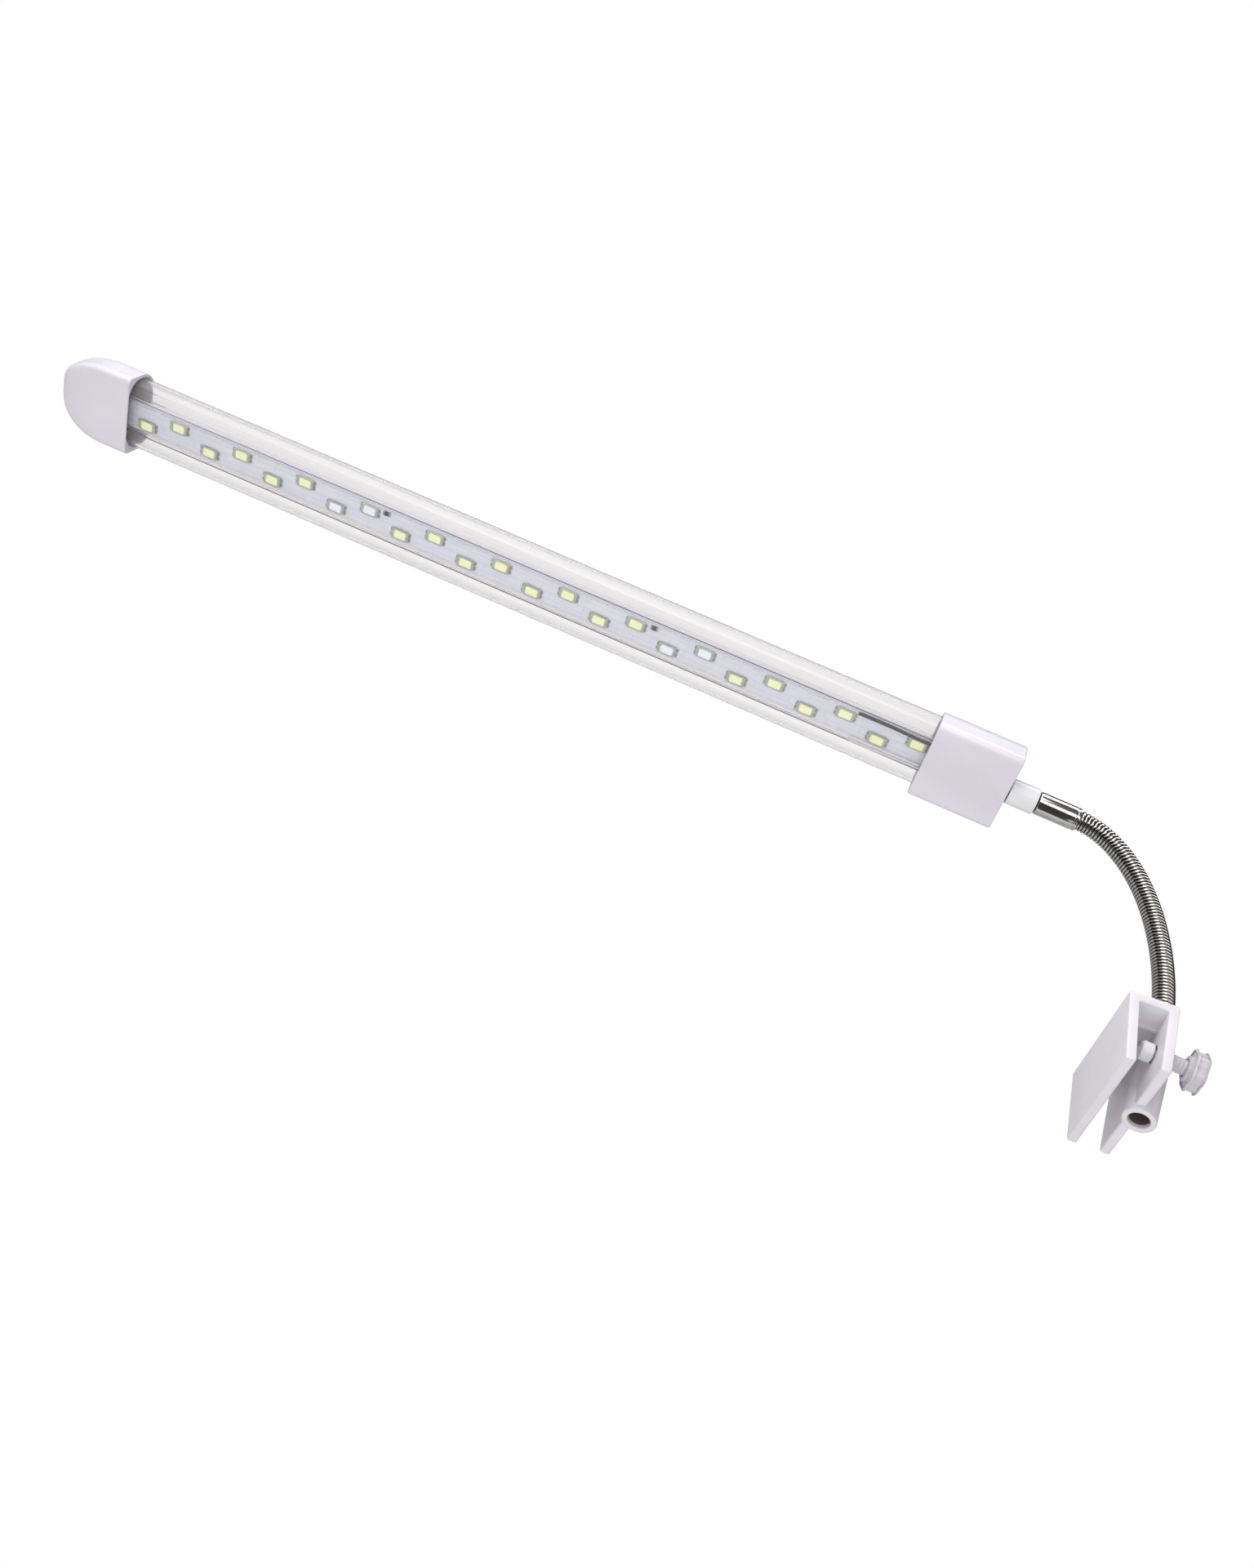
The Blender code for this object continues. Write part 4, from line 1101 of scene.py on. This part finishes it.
def build_tube():
    outer = rounded_rectangle(TUBE_HALF_WIDTH, TUBE_HALF_DEPTH, TUBE_CORNER, TUBE_POINTS)
    inner_width = TUBE_HALF_WIDTH - TUBE_WALL
    inner_depth = TUBE_HALF_DEPTH - TUBE_WALL
    inner = rounded_rectangle(inner_width, inner_depth, TUBE_CORNER - TUBE_WALL, TUBE_POINTS)
    slot_low = BOARD_FACE - BOARD_FIT
    slot_high = BOARD_BACK + BOARD_FIT
    rail = [
        (RAIL_OUTER, inner_depth),
        (RAIL_OUTER, slot_low - RAIL_LIP_HEIGHT),
        (RAIL_LIP, slot_low - RAIL_LIP_HEIGHT),
        (RAIL_LIP, slot_low),
        (RAIL_INNER, slot_low),
        (RAIL_INNER, slot_high),
        (RAIL_LIP, slot_high),
        (RAIL_LIP, slot_high + RAIL_LIP_HEIGHT),
        (RAIL_INNER, slot_high + RAIL_LIP_HEIGHT),
        (RAIL_INNER, inner_depth),
    ]
    mirrored = [(-x, z) for x, z in reversed(rail)]
    right = [(x, z) for x, z in inner if z > 0.0 and x > RAIL_OUTER + RAIL_MARGIN]
    left = [(x, z) for x, z in inner if z > 0.0 and x < -RAIL_OUTER - RAIL_MARGIN]
    below = [(x, z) for x, z in inner if z <= 0.0]
    hollow = right + rail + mirrored + left + below
    bm = prism([outer, hollow], -TUBE_HALF_LENGTH, TUBE_HALF_LENGTH, along_y)
    on_bar("tube_clear", bm, CLEAR, ("light_tube",), 25.0)


def build_lamp(number):
    """One lamp: moulded package, two solder tabs at each end, and the filled window."""
    station = (number - 1 - (LED_COUNT - 1) / 2) * LED_PITCH
    side = LED_ROW_SPACING / 2 * (-1 if number % 2 else 1)
    base = BOARD_FACE - SOLDER_GAP
    blue = number in BLUE_LEDS
    name = f"lamp_{number:02d}"

    def stacked(outlines):
        rings = []
        for inset, height, corner, shorter in outlines:
            length = LED_LENGTH / 2 - inset - shorter
            outline = rounded_rectangle(LED_WIDTH / 2 - inset, length, corner, LED_POINTS)
            rings.append([(side + a, station + b, base - height) for a, b in outline])
        return lofted(rings)

    on_bar(f"{name}_package", stacked(PACKAGE), LAMP_BODY, (f"led_{number:02d}",), 40.0)
    filling = LAMP_BLUE if blue else LAMP_WHITE
    window = on_bar(f"{name}_window", stacked(FILLING), filling, (), 60.0)
    values = [value for value in FILLING_RIM for _ in range(LED_POINTS)]
    window.data.attributes.new(WINDOW, "FLOAT", "POINT").data.foreach_set("value", values)

    tabs = bmesh.new()
    for end in (-1, 1):
        for across in (-1, 1):
            x = side + across * TAB_SIDE
            y = station + end * (LED_LENGTH / 2 - TAB_END_GAP)
            low = (x - TAB_HALF_WIDTH, y - TAB_HALF_LENGTH, base - TAB_TOP)
            high = (x + TAB_HALF_WIDTH, y + TAB_HALF_LENGTH, base + TAB_BOTTOM)
            soft_box(low, high, TAB_LIP, tabs)
    on_bar(f"{name}_tabs", tabs, SOLDER, ())


def build_board():
    low = (-BOARD_HALF_WIDTH, -BOARD_HALF_LENGTH, BOARD_FACE)
    high = (BOARD_HALF_WIDTH, BOARD_HALF_LENGTH, BOARD_BACK)
    on_bar("board_plate", soft_box(low, high, BOARD_LIP), MASK, ("led_board",))


def build_resistor(number, station):
    """A chip resistor: black body and a plated cap on each end."""
    name = f"resistor_{number}"
    face = BOARD_FACE - SOLDER_GAP
    left = RESISTOR_SIDE - RESISTOR_WIDTH / 2
    right = RESISTOR_SIDE + RESISTOR_WIDTH / 2
    half_length = RESISTOR_LENGTH / 2
    middle = RESISTOR_BODY_SHARE * half_length
    low = (left, station - middle, face - RESISTOR_HEIGHT)
    high = (right, station + middle, face)
    on_bar(f"{name}_chip", soft_box(low, high, RESISTOR_LIP), CHIP, (name,))
    ends = bmesh.new()
    for end in (-1, 1):
        start, stop = sorted((station + end * middle * RESISTOR_END_OVERLAP, station + end * half_length))
        low = (left, start, face - RESISTOR_HEIGHT + RESISTOR_END_STEP)
        soft_box(low, (right, stop, face), RESISTOR_LIP, ends)
    on_bar(f"{name}_ends", ends, SOLDER, ())


def build_leads():
    """Two insulated wires that dip slightly between the board and the near cap."""
    sway, sway_turn = LEAD_SWAY
    dip, dip_turn = LEAD_DIP
    for name, side, material in (("lead_black", 1, WIRE_BLACK), ("lead_white", -1, WIRE_WHITE)):
        rings = []
        for step in range(LEAD_STEPS + 1):
            share = step / LEAD_STEPS
            station = LEAD_START + (LEAD_END - LEAD_START) * share
            across = side * (LEAD_SIDE + sway * math.sin(share * sway_turn))
            depth = LEAD_DEPTH + dip * math.sin(share * dip_turn + side)
            radius = LEAD_RADIUS * (LEAD_TIP_SHARE if step in (0, LEAD_STEPS) else 1.0)
            rings.append(circle(radius, station, LEAD_POINTS, (across, depth)))
        on_bar(f"{name}_wire", lofted(rings), material, (name,))


# ---------------------------------------------------------------- stage, lights and camera

FLOOR_LEVEL = -0.62
FLOOR_SIZE = 4.0
FLOOR_GLOW = 0.3
CAMERA_PLACE = Vector((0.23053, -0.08401, -0.20761))
CAMERA_FORWARD = Vector((-0.68460, -0.11074, 0.72046))
CAMERA_DOWN = Vector((-0.70892, 0.33110, -0.62274))
CAMERA_LENS = 39.93
SENSOR = 36.0
CLIP_START = 0.01
CLIP_END = 20.0
FILL_COLOUR = (0.98, 0.97, 1.0, 1.0)
FILL_STRENGTH = 0.6

# Directions that the cards are hung by, and (angle, grey) of each card's edge going round.
CARD_SIDE = (0.6691, 0.2972, 0.6812)
CARD_FRONT = (0.6839, 0.1126, -0.7208)
CARDS = (
    (-180.0, 0.28), (-110.0, 0.24), (-62.0, 0.42), (-56.0, 0.03), (8.0, 0.03), (13.0, 0.9), (34.0, 0.9),
    (40.0, 0.07), (90.0, 0.07), (125.0, 0.04), (150.0, 0.05), (168.0, 0.22), (180.0, 0.28),
)
CARD_STRENGTH = 2.0

# One more card, long and curved, that hangs over the object. It is given by points along its middle.
LONG_CARD = (
    (0.986, -0.111, 0.129), (0.906, -0.278, 0.318), (0.840, -0.245, 0.483), (0.751, -0.203, 0.628),
    (0.660, -0.030, 0.750), (0.545, 0.147, 0.828), (0.445, 0.400, 0.800), (0.313, 0.620, 0.720),
)
LONG_CARD_EDGE = math.radians(15.0)
LONG_CARD_FULL = math.radians(10.0)
LONG_CARD_GREY = (1.7, 1.7, 1.7)

# Two soft lamps. The key is over the object as the camera sees it, and a little towards the camera.
STAGE_MIDDLE = Vector((0.0, -0.13, 0.06))
KEY_PLACE = STAGE_MIDDLE - CAMERA_DOWN * 0.8 - CAMERA_FORWARD * 0.2
KEY_SIZE = (0.7, 0.4)
KEY_POWER = 5.2
KEY_COLOUR = (1.0, 1.0, 1.0)
LOW_PLACE = STAGE_MIDDLE + Vector((0.18, -0.02, -0.56))
LOW_SIZE = (0.7, 0.7)
LOW_POWER = 2.0
LOW_COLOUR = (1.0, 0.98, 1.0)


def build_floor():
    """A pale sheet under the object. It isn't mirrored in the metal and sends no light up."""
    bm = bmesh.new()
    bmesh.ops.create_grid(bm, x_segments=2, y_segments=2, size=FLOOR_SIZE)
    material = matt(
        "floor_paper", dark=(0.80, 0.80, 0.80), light=(0.82, 0.82, 0.82), smooth=0.7, dull=0.8, scale=0.02,
    )
    floor = build("floor", bm, material, None, Matrix.Translation((0.0, 0.0, FLOOR_LEVEL)))
    floor.visible_glossy = False
    floor.visible_diffuse = False
    paper = material.node_tree.nodes["Principled BSDF"]
    paper.inputs["Emission Color"].default_value = WHITE
    paper.inputs["Emission Strength"].default_value = FLOOR_GLOW


def dot_with(tree, direction, axis):
    dot = node(tree, "ShaderNodeVectorMath", {1: axis}, operation="DOT_PRODUCT")
    tree.links.new(direction, dot.inputs[0])
    return dot.outputs["Value"]


def greater(tree, first, second):
    made = node(tree, "ShaderNodeMath", operation="MAXIMUM")
    tree.links.new(first, made.inputs[0])
    tree.links.new(second, made.inputs[1])
    return made.outputs["Value"]


def mirrored_cards(tree):
    """What polished metal mirrors: white cards and black flags round the object, and the long card."""
    direction = node(tree, "ShaderNodeTexCoord").outputs["Generated"]
    turn = node(tree, "ShaderNodeMath", operation="ARCTAN2")
    for index, axis in enumerate((CARD_SIDE, CARD_FRONT)):
        tree.links.new(dot_with(tree, direction, axis), turn.inputs[index])
    ramp = node(tree, "ShaderNodeValToRGB")
    stops = ramp.color_ramp.elements
    for number, (degrees, grey) in enumerate(CARDS):
        place = (degrees + 180.0) / 360.0
        stop = stops[number] if number < 2 else stops.new(place)
        stop.position = place
        stop.color = (grey, grey, grey, 1.0)
    tree.links.new(spread(tree, turn.outputs["Value"], start=-math.pi, end=math.pi), ramp.inputs["Fac"])
    nearest = None
    for spot in LONG_CARD:
        value = dot_with(tree, direction, Vector(spot).normalized())
        nearest = greater(tree, nearest, value) if nearest else value
    on_card = spread(tree, nearest, start=math.cos(LONG_CARD_EDGE), end=math.cos(LONG_CARD_FULL))
    cards = node(tree, "ShaderNodeBackground", {"Strength": CARD_STRENGTH})
    tree.links.new(tint(tree, on_card, ramp.outputs["Color"], LONG_CARD_GREY), cards.inputs["Color"])
    return cards


def build_world():
    """The camera sees plain white, metal mirrors the cards, and everything else is lit by a soft fill."""
    world = bpy.data.worlds.new("studio")
    bpy.context.scene.world = world
    world.use_nodes = True
    tree = world.node_tree
    tree.nodes.clear()
    seen = node(tree, "ShaderNodeBackground", {"Color": WHITE, "Strength": 1.0})
    fill = node(tree, "ShaderNodeBackground", {"Color": FILL_COLOUR, "Strength": FILL_STRENGTH})
    path = node(tree, "ShaderNodeLightPath").outputs
    sky = fill.outputs["Background"]
    for share, other in (
        (path["Is Glossy Ray"], mirrored_cards(tree)),
        (greater(tree, path["Is Camera Ray"], path["Is Transmission Ray"]), seen),
    ):
        mix = node(tree, "ShaderNodeMixShader")
        tree.links.new(share, mix.inputs["Fac"])
        tree.links.new(sky, mix.inputs[1])
        tree.links.new(other.outputs["Background"], mix.inputs[2])
        sky = mix.outputs["Shader"]
    output = node(tree, "ShaderNodeOutputWorld")
    tree.links.new(sky, output.inputs["Surface"])


def add_light(name, place, size, power, colour):
    """A soft rectangular lamp that faces the object. It isn't mirrored in metal or seen through the tube."""
    data = bpy.data.lights.new(name, "AREA")
    data.shape = "RECTANGLE"
    data.size, data.size_y = size
    data.energy = power
    data.color = colour
    lamp = bpy.data.objects.new(name, data)
    lamp.location = place
    lamp.rotation_mode = "QUATERNION"
    lamp.rotation_quaternion = (STAGE_MIDDLE - place).to_track_quat("-Z", "Y")
    lamp.visible_glossy = False
    lamp.visible_transmission = False
    bpy.context.scene.collection.objects.link(lamp)


def build_camera():
    forward = CAMERA_FORWARD.normalized()
    right = CAMERA_DOWN.cross(forward).normalized()
    up = right.cross(forward)
    data = bpy.data.cameras.new("camera")
    data.sensor_fit = "HORIZONTAL"
    data.sensor_width = SENSOR
    data.lens = CAMERA_LENS
    data.clip_start = CLIP_START
    data.clip_end = CLIP_END
    camera = bpy.data.objects.new("camera", data)
    turn = Matrix((right, up, -forward)).transposed()
    camera.matrix_world = Matrix.Translation(CAMERA_PLACE) @ turn.to_4x4()
    bpy.context.scene.collection.objects.link(camera)
    bpy.context.scene.camera = camera


bpy.context.scene.view_settings.view_transform = "Standard"
build_camera()
build_floor()
build_world()
add_light("key", KEY_PLACE, KEY_SIZE, KEY_POWER, KEY_COLOUR)
add_light("fill", LOW_PLACE, LOW_SIZE, LOW_POWER, LOW_COLOUR)
build_clamp()
build_pad()
build_shaft()
build_knob()
build_neck()
build_ferrule()
build_collar()
build_near_cap()
build_far_cap()
build_tube()
build_board()
for led in range(1, LED_COUNT + 1):
    build_lamp(led)
for index, place in enumerate(RESISTOR_PLACES):
    build_resistor(index + 1, place)
build_leads()
